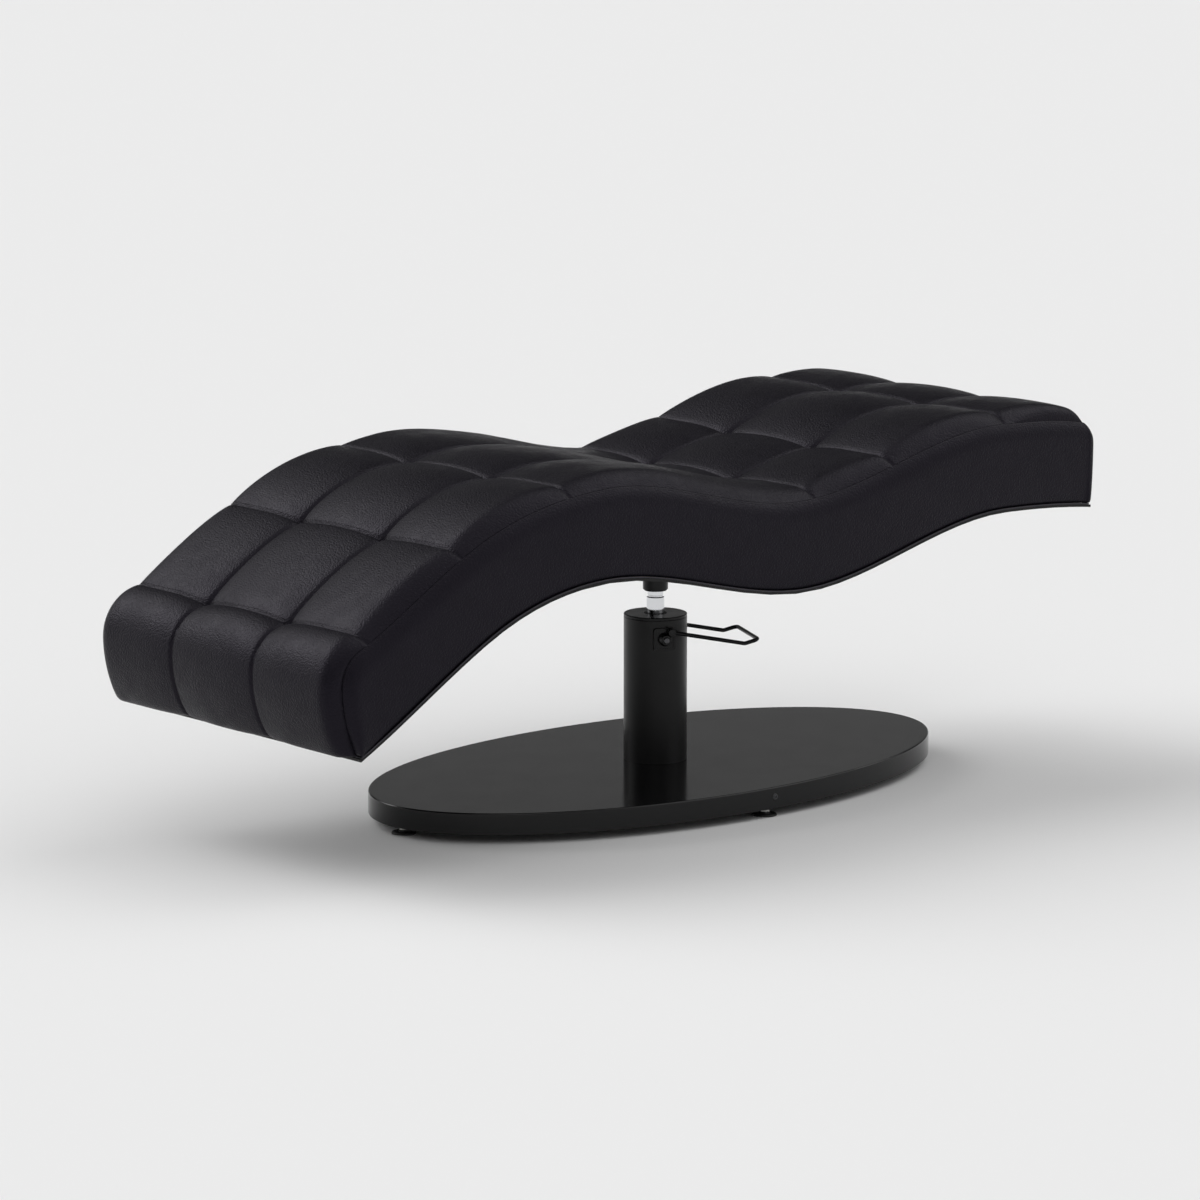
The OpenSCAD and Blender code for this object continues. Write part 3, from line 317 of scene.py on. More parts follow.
# %% Group: soft blotches
def build_blotches():
    group, start, end, place = new_group(
        "soft blotches", {"Scale": 12.0, "Low": 0.3, "High": 0.4}, ("Value",))
    noise = add(group, "ShaderNodeTexNoise", detail=4.0, roughness=0.55)
    group.links.new(place, noise.inputs["Vector"])
    group.links.new(start.outputs["Scale"], noise.inputs["Scale"])
    spread = add(group, "ShaderNodeMapRange", interpolation_type="SMOOTHSTEP")
    spread.inputs["From Min"].default_value = 0.35
    spread.inputs["From Max"].default_value = 0.65
    group.links.new(noise.outputs[0], spread.inputs["Value"])
    group.links.new(start.outputs["Low"], spread.inputs["To Min"])
    group.links.new(start.outputs["High"], spread.inputs["To Max"])
    group.links.new(spread.outputs["Result"], end.inputs["Value"])
    return group


BLOTCHES = build_blotches()

# %% [markdown]
# Ground or drawn metal has fine lines. Noise that is stretched along one axis gives them, and
# its height goes into the bump.

# %% Group: drawn lines
def build_lines():
    group, start, end, place = new_group(
        "drawn lines", {"Across": 900.0, "Along": 12.0}, ("Height",))
    size = group.nodes.new("ShaderNodeCombineXYZ")
    group.links.new(start.outputs["Across"], size.inputs["X"])
    group.links.new(start.outputs["Across"], size.inputs["Y"])
    group.links.new(start.outputs["Along"], size.inputs["Z"])
    stretch = add(group, "ShaderNodeVectorMath", operation="MULTIPLY")
    group.links.new(place, stretch.inputs[0])
    group.links.new(size.outputs[0], stretch.inputs[1])
    noise = add(group, "ShaderNodeTexNoise", scale=1.0, detail=3.0)
    group.links.new(stretch.outputs[0], noise.inputs["Vector"])
    group.links.new(noise.outputs[0], end.inputs["Height"])
    return group


LINES = build_lines()

# %% [markdown]
# A material starts as a plain Principled shader. Constants are written on its own sockets.
# Whatever changes over the surface, here tone, gloss and bump, is linked from a group.

# %% Material helpers
def new_material(name, colour, roughness, metallic=0.0, specular=0.5):
    material = bpy.data.materials.new(name)
    material.use_nodes = True
    tree = material.node_tree
    shader = tree.nodes["Principled BSDF"]
    shader.inputs["Base Color"].default_value = (*colour, 1)
    shader.inputs["Roughness"].default_value = roughness
    shader.inputs["Metallic"].default_value = metallic
    shader.inputs["Specular IOR Level"].default_value = specular
    return material, tree, shader


def use_group(tree, group, **inputs):
    node = tree.nodes.new("ShaderNodeGroup")
    node.node_tree = group
    for key, value in inputs.items():
        node.inputs[key].default_value = value
    return node


def tint(tree, shader, mask, dark, light):
    """Mix two tones of the base colour by a mask."""
    mix = add(tree, "ShaderNodeMix", data_type="RGBA")
    mix.inputs[6].default_value = (*dark, 1)
    mix.inputs[7].default_value = (*light, 1)
    tree.links.new(mask, mix.inputs[0])
    tree.links.new(mix.outputs[2], shader.inputs["Base Color"])


def bump(tree, shader, height, depth):
    node = add(tree, "ShaderNodeBump", strength=1.0, distance=depth)
    tree.links.new(height, node.inputs["Height"])
    tree.links.new(node.outputs[0], shader.inputs["Normal"])


def gloss(tree, shader, low, high, scale):
    blotch = use_group(tree, BLOTCHES, Scale=scale, Low=low, High=high)
    tree.links.new(blotch.outputs["Value"], shader.inputs["Roughness"])
    return blotch


# %% [markdown]
# The cover is a very dark leather with a slight purple tint. Most of what the eye sees on it
# is the soft light on its grain, so its gloss and the depth of its pebbles matter more than
# its colour. The piping is smoother, and its pale colour is a painted highlight: the light
# line along the welt. The thread is a plain waxed one.

# %% Leather, piping and thread
def leather_material(name, dark, light, low, high, cells=290.0, depth=0.0008):
    material, tree, shader = new_material(name, light, high, specular=0.16)
    shader.inputs["Specular Tint"].default_value = (0.86, 0.78, 1.0, 1)
    grain = use_group(tree, GRAIN, Cells=cells, Patches=9.0)
    tint(tree, shader, grain.outputs["Patch"], dark, light)
    gloss(tree, shader, low, high, 26.0)
    bump(tree, shader, grain.outputs["Height"], depth)
    return material


LEATHER = leather_material(
    "dark leather", (0.0034, 0.0029, 0.0046), (0.0052, 0.0045, 0.0068), 0.36, 0.44)
# The piping's colour is made pale to paint the highlight along the welt. The lamps alone leave
# its shaded underside darker.
PIPING_PAINTED_HIGHLIGHT = leather_material(
    "edge piping with painted highlight", (0.045, 0.043, 0.049), (0.060, 0.058, 0.064), 0.40, 0.50, 900.0, 0.0001)
THREAD = leather_material(
    "waxed thread", (0.007, 0.0065, 0.008), (0.011, 0.010, 0.012), 0.4, 0.5, 1500.0, 0.0001)

# %% [markdown]
# The base is powder coated in gloss black, the column and lever in satin black. Both have an
# orange peel too fine to see, which spreads a reflection just enough.

# %% Paint
def paint_material(name, colour, low, high, peel, specular):
    material, tree, shader = new_material(name, colour, high, specular=specular)
    lighter = tuple(min(1.0, c * 1.35) for c in colour)
    gloss(tree, shader, low, high, 14.0)
    grain = use_group(tree, GRAIN, Cells=900.0, Patches=5.0)
    tint(tree, shader, grain.outputs["Patch"], colour, lighter)
    bump(tree, shader, grain.outputs["Height"], peel)
    return material


GLOSS_PAINT = paint_material(
    "gloss black paint", (0.005, 0.005, 0.0053), 0.11, 0.15, 0.00001, 0.35)
SATIN_PAINT = paint_material(
    "satin black paint", (0.006, 0.006, 0.0063), 0.28, 0.34, 0.00002, 0.22)

# %% [markdown]
# The ram is hard chrome, polished so that its seal lives long. Plain steel, zinc and bronze
# parts are mostly hidden, but the same recipe gives each its colour, its lines and its gloss.

# %% Metals
def metal_material(name, colour, low, high, lines=0.00002, across=900.0):
    material, tree, shader = new_material(name, colour, high, metallic=1.0)
    blotch = gloss(tree, shader, low, high, 20.0)
    darker = tuple(c * 0.86 for c in colour)
    tint(tree, shader, blotch.outputs["Value"], darker, colour)
    drawn = use_group(tree, LINES, Across=across, Along=14.0)
    bump(tree, shader, drawn.outputs["Height"], lines)
    return material


CHROME = metal_material("hard chrome", (0.82, 0.83, 0.85), 0.05, 0.09, 0.000002)
STEEL = metal_material("machined steel", (0.52, 0.53, 0.55), 0.28, 0.40)
ZINC = metal_material("zinc plate", (0.60, 0.60, 0.57), 0.30, 0.42)
DARK_ZINC = metal_material("black zinc", (0.10, 0.10, 0.105), 0.32, 0.42)
BRONZE = metal_material("bearing bronze", (0.60, 0.42, 0.20), 0.25, 0.38)

# %% [markdown]
# Rubber pads, birch boards and foam finish what is left. Wood needs lines along the board,
# which the drawn-lines group gives at a coarse size.

# %% Rubber, wood and foam
def matt_material(name, colours, roughness, group, mask, depth, **sizes):
    """A dull material: one group gives the mask for two tones and the height for a bump."""
    base, dark, light = colours
    material, tree, shader = new_material(name, base, roughness)
    effect = use_group(tree, group, **sizes)
    tint(tree, shader, effect.outputs[mask], dark, light)
    bump(tree, shader, effect.outputs["Height"], depth)
    return material


RUBBER = matt_material(
    "black rubber", ((0.012, 0.012, 0.012), (0.010, 0.010, 0.010), (0.018, 0.018, 0.018)),
    0.6, GRAIN, "Patch", 0.00005, Cells=1200.0, Patches=20.0)
BIRCH = matt_material(
    "birch board", ((0.62, 0.45, 0.27), (0.50, 0.34, 0.18), (0.72, 0.55, 0.35)),
    0.6, LINES, "Height", 0.0001, Across=60.0, Along=3.0)
FOAM = matt_material(
    "foam", ((0.80, 0.75, 0.58), (0.74, 0.69, 0.52), (0.84, 0.80, 0.64)),
    0.9, GRAIN, "Patch", 0.0003, Cells=1400.0, Patches=14.0)

# %% [markdown]
# Every solid of the frame gets the finish of its slot. Those that are replaced further down
# are hidden, and the rest stay just as they are.

# %% Dress the frame's own nodes
SLOT_FINISH = {
    "leather": LEATHER, "piping": PIPING_PAINTED_HIGHLIGHT, "base_paint": GLOSS_PAINT,
    "column_paint": SATIN_PAINT, "chrome": CHROME, "steel": STEEL, "zinc": ZINC,
    "bronze": BRONZE, "rubber": RUBBER, "birch": BIRCH, "foam": FOAM,
}
SLOT_OF = {part["node"]: part["material_slot"] for part in frame["record"]["subparts"]}


def coat(piece, material):
    piece.data.materials.clear()
    piece.data.materials.append(material)


for node, piece in frame["nodes"].items():
    coat(piece, SLOT_FINISH[SLOT_OF[node]])
for node in ("rim_screws", "hub_screws"):
    coat(frame["nodes"][node], DARK_ZINC)


def finish(piece, material, body, slot, *nodes):
    """Give a piece its material and its body, and hide the nodes it stands for; slot is not
    used.
    """
    coat(piece, material)
    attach(piece, body)
    if nodes:
        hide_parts(*nodes)
    print(piece.name, len(piece.data.polygons), "faces")


# %% [markdown]
# ## The wave
# The bed's side view is one smooth line through six named points: foot, calf, knee, seat,
# shoulder and head. The underside follows it, and so does the seam round the top, about
# 177 mm higher. Each point has a height and a slope, and a cubic joins it to the next.

# %% The wave's two lines
KEY_X = (-1.020, -0.720, -0.440, 0.035, 0.595, 0.834)
UNDER_Z = (0.252, 0.435, 0.512, 0.437, 0.535, 0.520)
UNDER_SLOPE = (0.545, 0.548, 0.032, -0.038, -0.011, -0.128)
DEPTH = tuple(0.177 * s for s in (1.119, 1.066, 0.998, 0.997, 0.989, 0.952))
SEAM_Z = tuple(z + d for z, d in zip(UNDER_Z, DEPTH))
SEAM_SLOPE = (0.487, 0.450, 0.065, -0.030, -0.036, -0.230)


def on_wave(heights, slopes, x):
    """Height and slope of the wave at x, measured from the column's axis."""
    i = max([0] + [n for n in range(1, 5) if x > KEY_X[n]])
    width = KEY_X[i + 1] - KEY_X[i]
    t = (x - KEY_X[i]) / width
    s = 1 - t
    z = (s * s * (1 + 2 * t) * heights[i] + t * t * (3 - 2 * t) * heights[i + 1]
         + width * t * s * (s * slopes[i] - t * slopes[i + 1]))
    slope = (6 * t * s * (heights[i + 1] - heights[i]) / width
             + s * (1 - 3 * t) * slopes[i] + t * (3 * t - 2) * slopes[i + 1])
    return z, slope


def under(x):
    return on_wave(UNDER_Z, UNDER_SLOPE, x)[0]


def seam(x):
    return on_wave(SEAM_Z, SEAM_SLOPE, x)


# %% [markdown]
# At the foot the top panel turns down over a nose: a tight arc first, then a wide one that
# leads back to the foot edge. The whole line, from the foot edge over the nose and up the
# wave to the head seam, is sampled once, and its length is measured along it, because the
# leather was cut along that length.

# %% The top seam's path
SKIRT = 0.0083
TOE_X = KEY_X[0]
TOE = Vector((TOE_X, under(TOE_X) + SKIRT))
TURN_X = -1.015
NOSE_R = 0.068
HEAD_SEAM = 0.819
WIDE_STEPS, NOSE_STEPS = 70, 50


def seam_path(step=0.002):
    turn_z, slope = seam(TURN_X)
    turn = math.atan(slope)
    nose = Vector((TURN_X + NOSE_R * math.sin(turn), turn_z - NOSE_R * math.cos(turn)))
    front = nose - Vector((NOSE_R, 0))
    sweep = 2 * math.atan((TOE.x - front.x) / (front.y - TOE.y))
    wide = (front.y - TOE.y) / math.sin(sweep)
    points = []
    for i in range(WIDE_STEPS):
        a = sweep * (1 - i / WIDE_STEPS)
        points.append(front + Vector((wide - wide * math.cos(a), -wide * math.sin(a))))
    for i in range(NOSE_STEPS):
        a = (math.pi / 2 - turn) * i / NOSE_STEPS
        points.append(nose + NOSE_R * Vector((-math.cos(a), math.sin(a))))
    count = round((HEAD_SEAM - TURN_X) / step)
    for i in range(count + 1):
        x = TURN_X + (HEAD_SEAM - TURN_X) * i / count
        points.append(Vector((x, seam(x)[0])))
    return points


PATH = seam_path()
PATH_S = [0.0]
for here, there in zip(PATH, PATH[1:]):
    PATH_S.append(PATH_S[-1] + (there - here).length)
PATH_END = PATH_S[-1]


def along(s):
    """Place and outward direction of the seam's path at length s, in the side view."""
    s = min(max(s, 0.0), PATH_END)
    low, high = 0, len(PATH_S) - 1
    while high - low > 1:
        mid = (low + high) // 2
        low, high = (mid, high) if PATH_S[mid] <= s else (low, mid)
    t = (s - PATH_S[low]) / (PATH_S[high] - PATH_S[low])
    before, after = PATH[max(low - 2, 0)], PATH[min(high + 2, len(PATH) - 1)]
    run = (after - before).normalized()
    return PATH[low].lerp(PATH[high], t), Vector((-run.y, run.x))


def length_at(x):
    """Length along the path where the upper part of it passes x."""
    upper = WIDE_STEPS + NOSE_STEPS
    first = next(i for i, p in enumerate(PATH) if i >= upper and p.x >= x)
    return PATH_S[first]


ROW_X = (-0.995, -0.775, -0.519, 0.090, 0.297, 0.597, HEAD_SEAM)
ROWS = [0.0] + [length_at(x) for x in ROW_X[:-1]] + [PATH_END]


def row_at(s):
    """The row of puffs at length s, and how far through it s lies, from 0 to 1."""
    row = max(i for i in range(len(ROWS) - 1) if s >= ROWS[i] - 1e-9)
    return row, (s - ROWS[row]) / (ROWS[row + 1] - ROWS[row])


print("the top panel is", round(PATH_END, 3), "m long")

# %% [markdown]
# ## The quilted top
# The top is one panel of leather on a foam backing. Six sewn rows cross it and two channels
# run along it, and where they meet the leather is pulled right down. Between them it swells.
# It could be a flat sheet pushed up by a pattern, but real puffs are round because something
# soft presses from inside. So the panel starts as a grid that is nearly the right shape, its
# sewn lines are pinned, and a cloth simulation blows it up. Rows and channels get close grid
# lines, since the leather bends sharply there.

# %% The grid of the top panel
TOP_HALF = 0.3597
CHANNEL = 0.125
PUFF = 0.033
EDGE_ROLL = 0.038
NOSE_ROLL = 0.030
HEAD_ROLL = 0.024
GRID_STEP = 0.0095
OUTER_LINES, MIDDLE_LINES = 26, 28


def spread(start, end, count, bunch=0.5):
    """Values from start to end that stand closer together at both ends."""
    values = []
    for i in range(count):
        t = i / count
        eased = (1 - math.cos(math.pi * t)) / 2
        values.append(start + (end - start) * (t + (eased - t) * bunch))
    return values


grid_s = []
for start, end in zip(ROWS, ROWS[1:]):
    grid_s += spread(start, end, max(12, round((end - start) / GRID_STEP)))
grid_s.append(PATH_END)
grid_y = (spread(-TOP_HALF, -CHANNEL, OUTER_LINES) + spread(-CHANNEL, CHANNEL, MIDDLE_LINES)
          + spread(CHANNEL, TOP_HALF, OUTER_LINES) + [TOP_HALF])


def pillow(t, power):
    """A bulge over t from 0 to 1; the smaller the power, the fuller it is."""
    return max(0.0, 4 * t * (1 - t)) ** power


def soft_edge(away, reach):
    """A rise that leaves the edge at a slope and ends flat."""
    return math.sin(math.pi / 2 * min(max(away, 0) / reach, 1))


def round_edge(away, reach):
    """A rise that leaves the edge upright, as a quarter circle."""
    return (1 - (1 - min(max(away, 0) / reach, 1)) ** 2) ** 0.5


ALONG_POWER, ACROSS_POWER = 0.68, 0.65
TOE_POWER, NOSE_POWER = 0.28, 0.75
TOE_ROLL = 0.020
NOSE_TALLER = 1.13
BEFORE_AIR = 0.94


def puff(s, y):
    """How far the panel stands off the seam's path."""
    row, t = row_at(s)
    power = ALONG_POWER
    if row == 0:
        power = TOE_POWER if t < 0.5 else NOSE_POWER
    rise = pillow(min(max(t, 0), 1), power)
    edge = TOP_HALF - abs(y)
    if abs(y) < CHANNEL:
        swell = pillow((y + CHANNEL) / (2 * CHANNEL), ACROSS_POWER)
    else:
        swell = pillow(max(edge / (TOP_HALF - CHANNEL), 0.5), ACROSS_POWER)
    roll = soft_edge(edge, EDGE_ROLL)
    tall = PUFF
    shape = 0.03 + 0.62 * rise + 0.55 * swell - 0.20 * rise * swell
    if row == 0:
        tight = min(1.0, (1 - t) / 0.4)
        roll += (round_edge(edge, NOSE_ROLL) - roll) * tight
        roll *= round_edge(s, TOE_ROLL)
        tall *= NOSE_TALLER
        shape += tight * rise * (0.16 - 0.22 * swell)
    if row == len(ROWS) - 2:
        roll += (round_edge(edge, NOSE_ROLL) - roll) * min(1.0, t / 0.6)
    return tall * roll * shape * round_edge(PATH_END - s, HEAD_ROLL)


def panel_point(s, y, height):
    place, out = along(s)
    place = place + out * height
    return (COLUMN_X + place.x, y, place.y)


def build_panel():
    verts, sewn = [], []
    for s in grid_s:
        on_row = min(abs(s - r) for r in ROWS) < 1e-6
        for y in grid_y:
            on_line = abs(abs(y) - CHANNEL) < 1e-6 or TOP_HALF - abs(y) < 1e-6
            if on_row or on_line:
                sewn.append(len(verts))
            verts.append(panel_point(s, y, puff(s, y) * BEFORE_AIR))
    wide = len(grid_y)
    faces = [(k * wide + j, k * wide + j + 1, (k + 1) * wide + j + 1, (k + 1) * wide + j)
             for k in range(len(grid_s) - 1) for j in range(wide - 1)]
    faces = [tuple(reversed(f)) for f in faces]
    panel = new_piece("quilted_panel", verts, faces)
    for label, values in (("along", [s for s in grid_s for y in grid_y]),
                          ("across", [y for s in grid_s for y in grid_y])):
        layer = panel.data.attributes.new(label, "FLOAT", "POINT")
        layer.data.foreach_set("value", values)
    panel.vertex_groups.new(name="sewn").add(sewn, 1.0, "REPLACE")
    print("panel grid:", len(grid_s), "by", wide)
    return panel


quilt = build_panel()

# %% [markdown]
# The simulation runs for twenty frames with no gravity. Air pressure pushes the panel out,
# the pinned lines hold, and what moves further than 5 mm is held back, so that the bed keeps
# its size. One subdivision then halves the grid.

# %% Blow the panel up
AIR = 4.0
FURTHEST = 0.005


def swell_up(piece, pressure, cap, frames=20):
    """Run cloth with pressure on a piece, keep its pinned points and cap the movement."""
    scene = bpy.context.scene
    start = [v.co.copy() for v in piece.data.vertices]
    cloth = piece.modifiers.new("cloth", "CLOTH")
    cloth.settings.quality = 5
    cloth.settings.mass = 0.3
    cloth.settings.tension_stiffness = 25
    cloth.settings.compression_stiffness = 25
    cloth.settings.bending_stiffness = 1.5
    cloth.settings.use_pressure = True
    cloth.settings.uniform_pressure_force = pressure
    cloth.settings.effector_weights.gravity = 0
    cloth.settings.vertex_group_mass = "sewn"
    cloth.collision_settings.use_collision = False
    cloth.point_cache.frame_start = 1
    cloth.point_cache.frame_end = frames
    for number in range(1, frames + 1):
        scene.frame_set(number)
    pick(piece)
    bpy.ops.object.modifier_apply(modifier="cloth")
    furthest = 0.0
    for vert, old in zip(piece.data.vertices, start):
        move = vert.co - old
        furthest = max(furthest, move.length)
        if move.length > cap:
            vert.co = old + move * (cap / move.length)
    scene.frame_set(1)
    print(piece.name, "moved by up to", round(furthest * 1000, 1), "mm")


swell_up(quilt, AIR, FURTHEST)
modify(quilt, "SUBSURF", levels=1, render_levels=1)

# %% [markdown]
# Sewing comes after the air. A needle pulls a sharp valley along each row, a softer one along
# the channels, and a small dimple where they cross. Each point knows how far along and across
# the panel it lies, so its distance from the nearest thread is simple to find.

# %% Sew the rows and channels
ROW_CUT, CHANNEL_CUT, CUT_REACH = 0.0030, 0.0028, 0.006
DIMPLE, DIMPLE_REACH = 0.0015, 0.012


def sew(piece):
    lengths = [d.value for d in piece.data.attributes["along"].data]
    widths = [d.value for d in piece.data.attributes["across"].data]
    inner_rows = ROWS[1:-1]
    for vert, s, y in zip(piece.data.vertices, lengths, widths):
        off_row = min(abs(s - r) for r in inner_rows)
        off_channel = abs(abs(y) - CHANNEL)
        row_cut = ROW_CUT * max(0.0, 1 - off_row / CUT_REACH)
        channel_cut = CHANNEL_CUT * max(0.0, 1 - off_channel / CUT_REACH)
        dimple = DIMPLE * math.exp(-(off_row ** 2 + off_channel ** 2) / DIMPLE_REACH ** 2)
        cut = max(row_cut, channel_cut) + dimple
        if cut > 0:
            out = along(s)[1]
            vert.co -= Vector((out.x, 0, out.y)) * cut


sew(quilt)

# %% [markdown]
# The panel is still a sheet. Its edge is turned in, 12 mm deep and a little narrower, and the
# open bottom is closed with strips from side to side, so that the piece is one solid body.

# %% Close the body under the panel
def close_panel(piece, depth=0.012, inner=0.3537):
    mesh = bmesh.new()
    mesh.from_mesh(piece.data)
    s_of = mesh.verts.layers.float["along"]
    y_of = mesh.verts.layers.float["across"]
    rim = [v for v in mesh.verts if v.is_boundary]
    sides = {}
    for sign in (-1, 1):
        edge = [v for v in rim if abs(v[y_of] - sign * TOP_HALF) < 1e-5]
        sides[sign] = sorted(edge, key=lambda v: v[s_of])
    ends = {}
    for name, s in (("toe", 0.0), ("head", PATH_END)):
        edge = [v for v in rim if abs(v[s_of] - s) < 1e-5]
        ends[name] = sorted(edge, key=lambda v: v[y_of])

    def lowered(vert):
        place, out = along(vert[s_of])
        place = place - out * depth
        y = vert[y_of] * inner / TOP_HALF
        low = mesh.verts.new((COLUMN_X + place.x, y, place.y))
        low[s_of], low[y_of] = vert[s_of], vert[y_of]
        return low

    below = {v: lowered(v) for v in rim}
    loops = [sides[-1], sides[1], ends["toe"], ends["head"]]
    for loop in loops:
        for a, b in zip(loop, loop[1:]):
            mesh.faces.new((a, b, below[b], below[a]))
    left = [below[v] for v in sides[-1]]
    right = [below[v] for v in sides[1]]
    for i in range(1, len(left) - 2):
        mesh.faces.new((left[i], left[i + 1], right[i + 1], right[i]))
    toe = [below[v] for v in ends["toe"]]
    head = [below[v] for v in ends["head"]]
    mesh.faces.new(toe + [right[1], left[1]])
    mesh.faces.new(head + [right[-2], left[-2]])
    bmesh.ops.recalc_face_normals(mesh, faces=mesh.faces)
    mesh.to_mesh(piece.data)
    mesh.free()


close_panel(quilt)
smooth(quilt, 60)
finish(quilt, LEATHER, "bed", "leather", "quilted_top")

# %% [markdown]
# ## The side band
# A plain padded band closes the bed's sides and head end. Its foot is straight along the
# board, its face is nearly upright, and its top rolls over to meet the panel at the seam. One
# profile is carried round: up the near side, round the head's corners, and back down the far
# side. At the toes it runs out to a point. At the corners its foot is fuller, because the
# board under it is square there, and its foot is drawn down a little over the piping.

# %% The band's rings
LEAN = 0.8
ROW_FEET = [TOE_X]
for x in ROW_X[:-1]:
    z, slope = seam(x)
    ROW_FEET.append(x + LEAN * slope * (z - under(x)))
ROW_FEET.append(HEAD_SEAM)
BAND_OUT = 0.0165
HEAD_CROWN = 0.006
BAND_FOOT = 0.0095
HEAD_FOOT = 0.0040
CORNER_FOOT = 0.0045
FOOT_TUCK = 0.0015
SHOULDER_DROP = 0.040
FACE_POWER, SHOULDER_POWER = 0.7, 1.7
RING_STEP = 0.013
SHORTEST = 0.004
BESIDE_PANEL = 0.0003


def band_foot(s):
    """Where the band's foot stands for the seam's length s."""
    row, t = row_at(s)
    x = ROW_FEET[row] + (ROW_FEET[row + 1] - ROW_FEET[row]) * t
    return Vector((x, under(x) + SKIRT - FOOT_TUCK))


def band_profile(height, crown, foot):
    """Pairs of (share of the height, distance outwards) from the foot to the seam."""
    drop = min(SHOULDER_DROP, height / 2)
    top = 1 - drop / height
    pairs = []
    for i in range(9):
        t = i / 9
        out = foot + (crown - foot) * math.sin(math.pi / 2 * t) ** FACE_POWER
        pairs.append((t * top, out))
    for i in range(9):
        a = math.pi / 2 * i / 8
        share = top + (1 - top) * math.sin(a)
        pairs.append((share, crown * math.cos(a) ** SHOULDER_POWER))
    return pairs


def band_ring(s, anchor_y, turn):
    """One ring of the band; turn is 0 on the near side and 90 degrees at the head."""
    high = along(s)[0]
    low = band_foot(s)
    if (high - low).length < SHORTEST:
        high = low + (along(0.01)[0] - along(0.0)[0]).normalized() * SHORTEST
    outwards = Vector((math.sin(turn), -math.cos(turn)))
    ring = []
    crown = BAND_OUT + HEAD_CROWN * math.sin(turn)
    foot = BAND_FOOT + HEAD_FOOT * math.sin(turn) + CORNER_FOOT * math.sin(2 * turn)
    for share, out in band_profile((high - low).length, crown, foot):
        spot = low.lerp(high, share)
        ring.append((COLUMN_X + spot.x + outwards.x * out, anchor_y + outwards.y * out, spot.y))
    return ring


def build_band():
    lengths = []
    for start, end in zip(ROWS, ROWS[1:]):
        count = max(10, round((end - start) / RING_STEP))
        lengths += [start + (end - start) * i / count for i in range(count)]
    rings = [band_ring(s, -TOP_HALF - BESIDE_PANEL, 0) for s in lengths]
    quarter = [math.pi / 2 * i / 8 for i in range(9)]
    rings += [band_ring(PATH_END, -TOP_HALF - BESIDE_PANEL, a) for a in quarter]
    across = 48
    for i in range(1, across):
        y = -TOP_HALF + 2 * TOP_HALF * i / across
        rings.append(band_ring(PATH_END, y, math.pi / 2))
    side = rings[:len(lengths) + len(quarter)]
    mirrored = [[(x, -y, z) for x, y, z in ring] for ring in side]
    rings += reversed(mirrored)
    wide = len(rings[0])
    faces = [(k * wide + j, (k + 1) * wide + j, (k + 1) * wide + j + 1, k * wide + j + 1)
             for k in range(len(rings) - 1) for j in range(wide - 1)]
    return new_piece("padded_band", [p for ring in rings for p in ring], faces)


band = build_band()
modify(band, "SOLIDIFY", thickness=0.006, offset=-1)
modify(band, "SUBSURF", levels=1, render_levels=1)
face_outwards(band)
smooth(band, 50)
finish(band, LEATHER, "bed", "leather", "side_band")

# %% [markdown]
# ## Piping and stitches
# A thin welt runs along the bottom edge, between the leather and the board; its pale colour
# is a painted highlight. It is a tube that is bent along the underside's line and round the
# corners. Beside the top seam runs a row of stitches: one short thread is modelled and
# copied along the seam.

# %% Piping along the bottom edge
WELT_R = 0.0013
WELT_Z = 0.0066


def edge_line():
    """The welt's line: along one side, round the head's corner, and back along the other."""
    half, low_x, high_x, corner = 0.3717, -1.0180, 0.8295, 0.007
    flat = [(low_x + (high_x - corner - low_x) * i / 160, -half) for i in range(161)]
    for i in range(1, 9):
        a = math.pi / 2 * i / 8
        flat.append((high_x - corner * (1 - math.sin(a)), -half + corner * (1 - math.cos(a))))
    near = [Vector((COLUMN_X + x, y, under(x) + WELT_Z)) for x, y in flat]
    far = [Vector((p.x, -p.y, p.z)) for p in reversed(near)]
    return near + far


piping = tube("edge_welt", edge_line(), WELT_R, closed=True)
face_outwards(piping)
smooth(piping, 60)
finish(piping, PIPING_PAINTED_HIGHLIGHT, "bed", "piping", "edge_piping")

# %% [markdown]
# Thread is what holds the puffs down. A stitch is a small grain of waxed thread, half sunk in
# the leather. It starts as a low sphere that is stretched along its seam. Its place comes from
# a ray that falls on the finished leather, so that it lies on the puffs however they swelled.

# %% One stitch
STITCH = 0.0062
GAP = 0.0024
THICK = 0.0011
PITCH = STITCH + GAP
REACH = 0.003


def build_stitch():
    bpy.ops.mesh.primitive_uv_sphere_add(segments=8, ring_count=6, radius=0.5)
    stitch = bpy.context.active_object
    edit(stitch)
    bpy.ops.mesh.select_all(action="SELECT")
    bpy.ops.transform.resize(value=(STITCH, THICK, THICK))
    leave_edit()
    shape = ([v.co.copy() for v in stitch.data.vertices],
             [tuple(p.vertices) for p in stitch.data.polygons])
    bpy.data.objects.remove(stitch)
    return shape


STITCH_VERTS, STITCH_FACES = build_stitch()


def lay_stitches(name, spots):
    """Copy the stitch to each (place, direction of the seam, outward direction)."""
    verts, faces = [], []
    for place, run, out in spots:
        side = out.cross(run).normalized()
        up = run.cross(side).normalized()
        turn = Matrix((run.normalized(), side, up)).transposed()
        first = len(verts)
        verts += [place + turn @ v for v in STITCH_VERTS]
        faces += [tuple(first + i for i in f) for f in STITCH_FACES]
    piece = new_piece(name, verts, faces)
    smooth(piece, 80)
    return piece


def skin_of(piece):
    mesh = piece.data
    return BVHTree.FromPolygons([v.co for v in mesh.vertices],
                                [tuple(p.vertices) for p in mesh.polygons])


# %% [markdown]
# Each row has one line of stitches on its head side, and the long seams have one on the band,
# about 5 mm out from the seam. Three rays, 3 mm apart, give each stitch its place and its run.

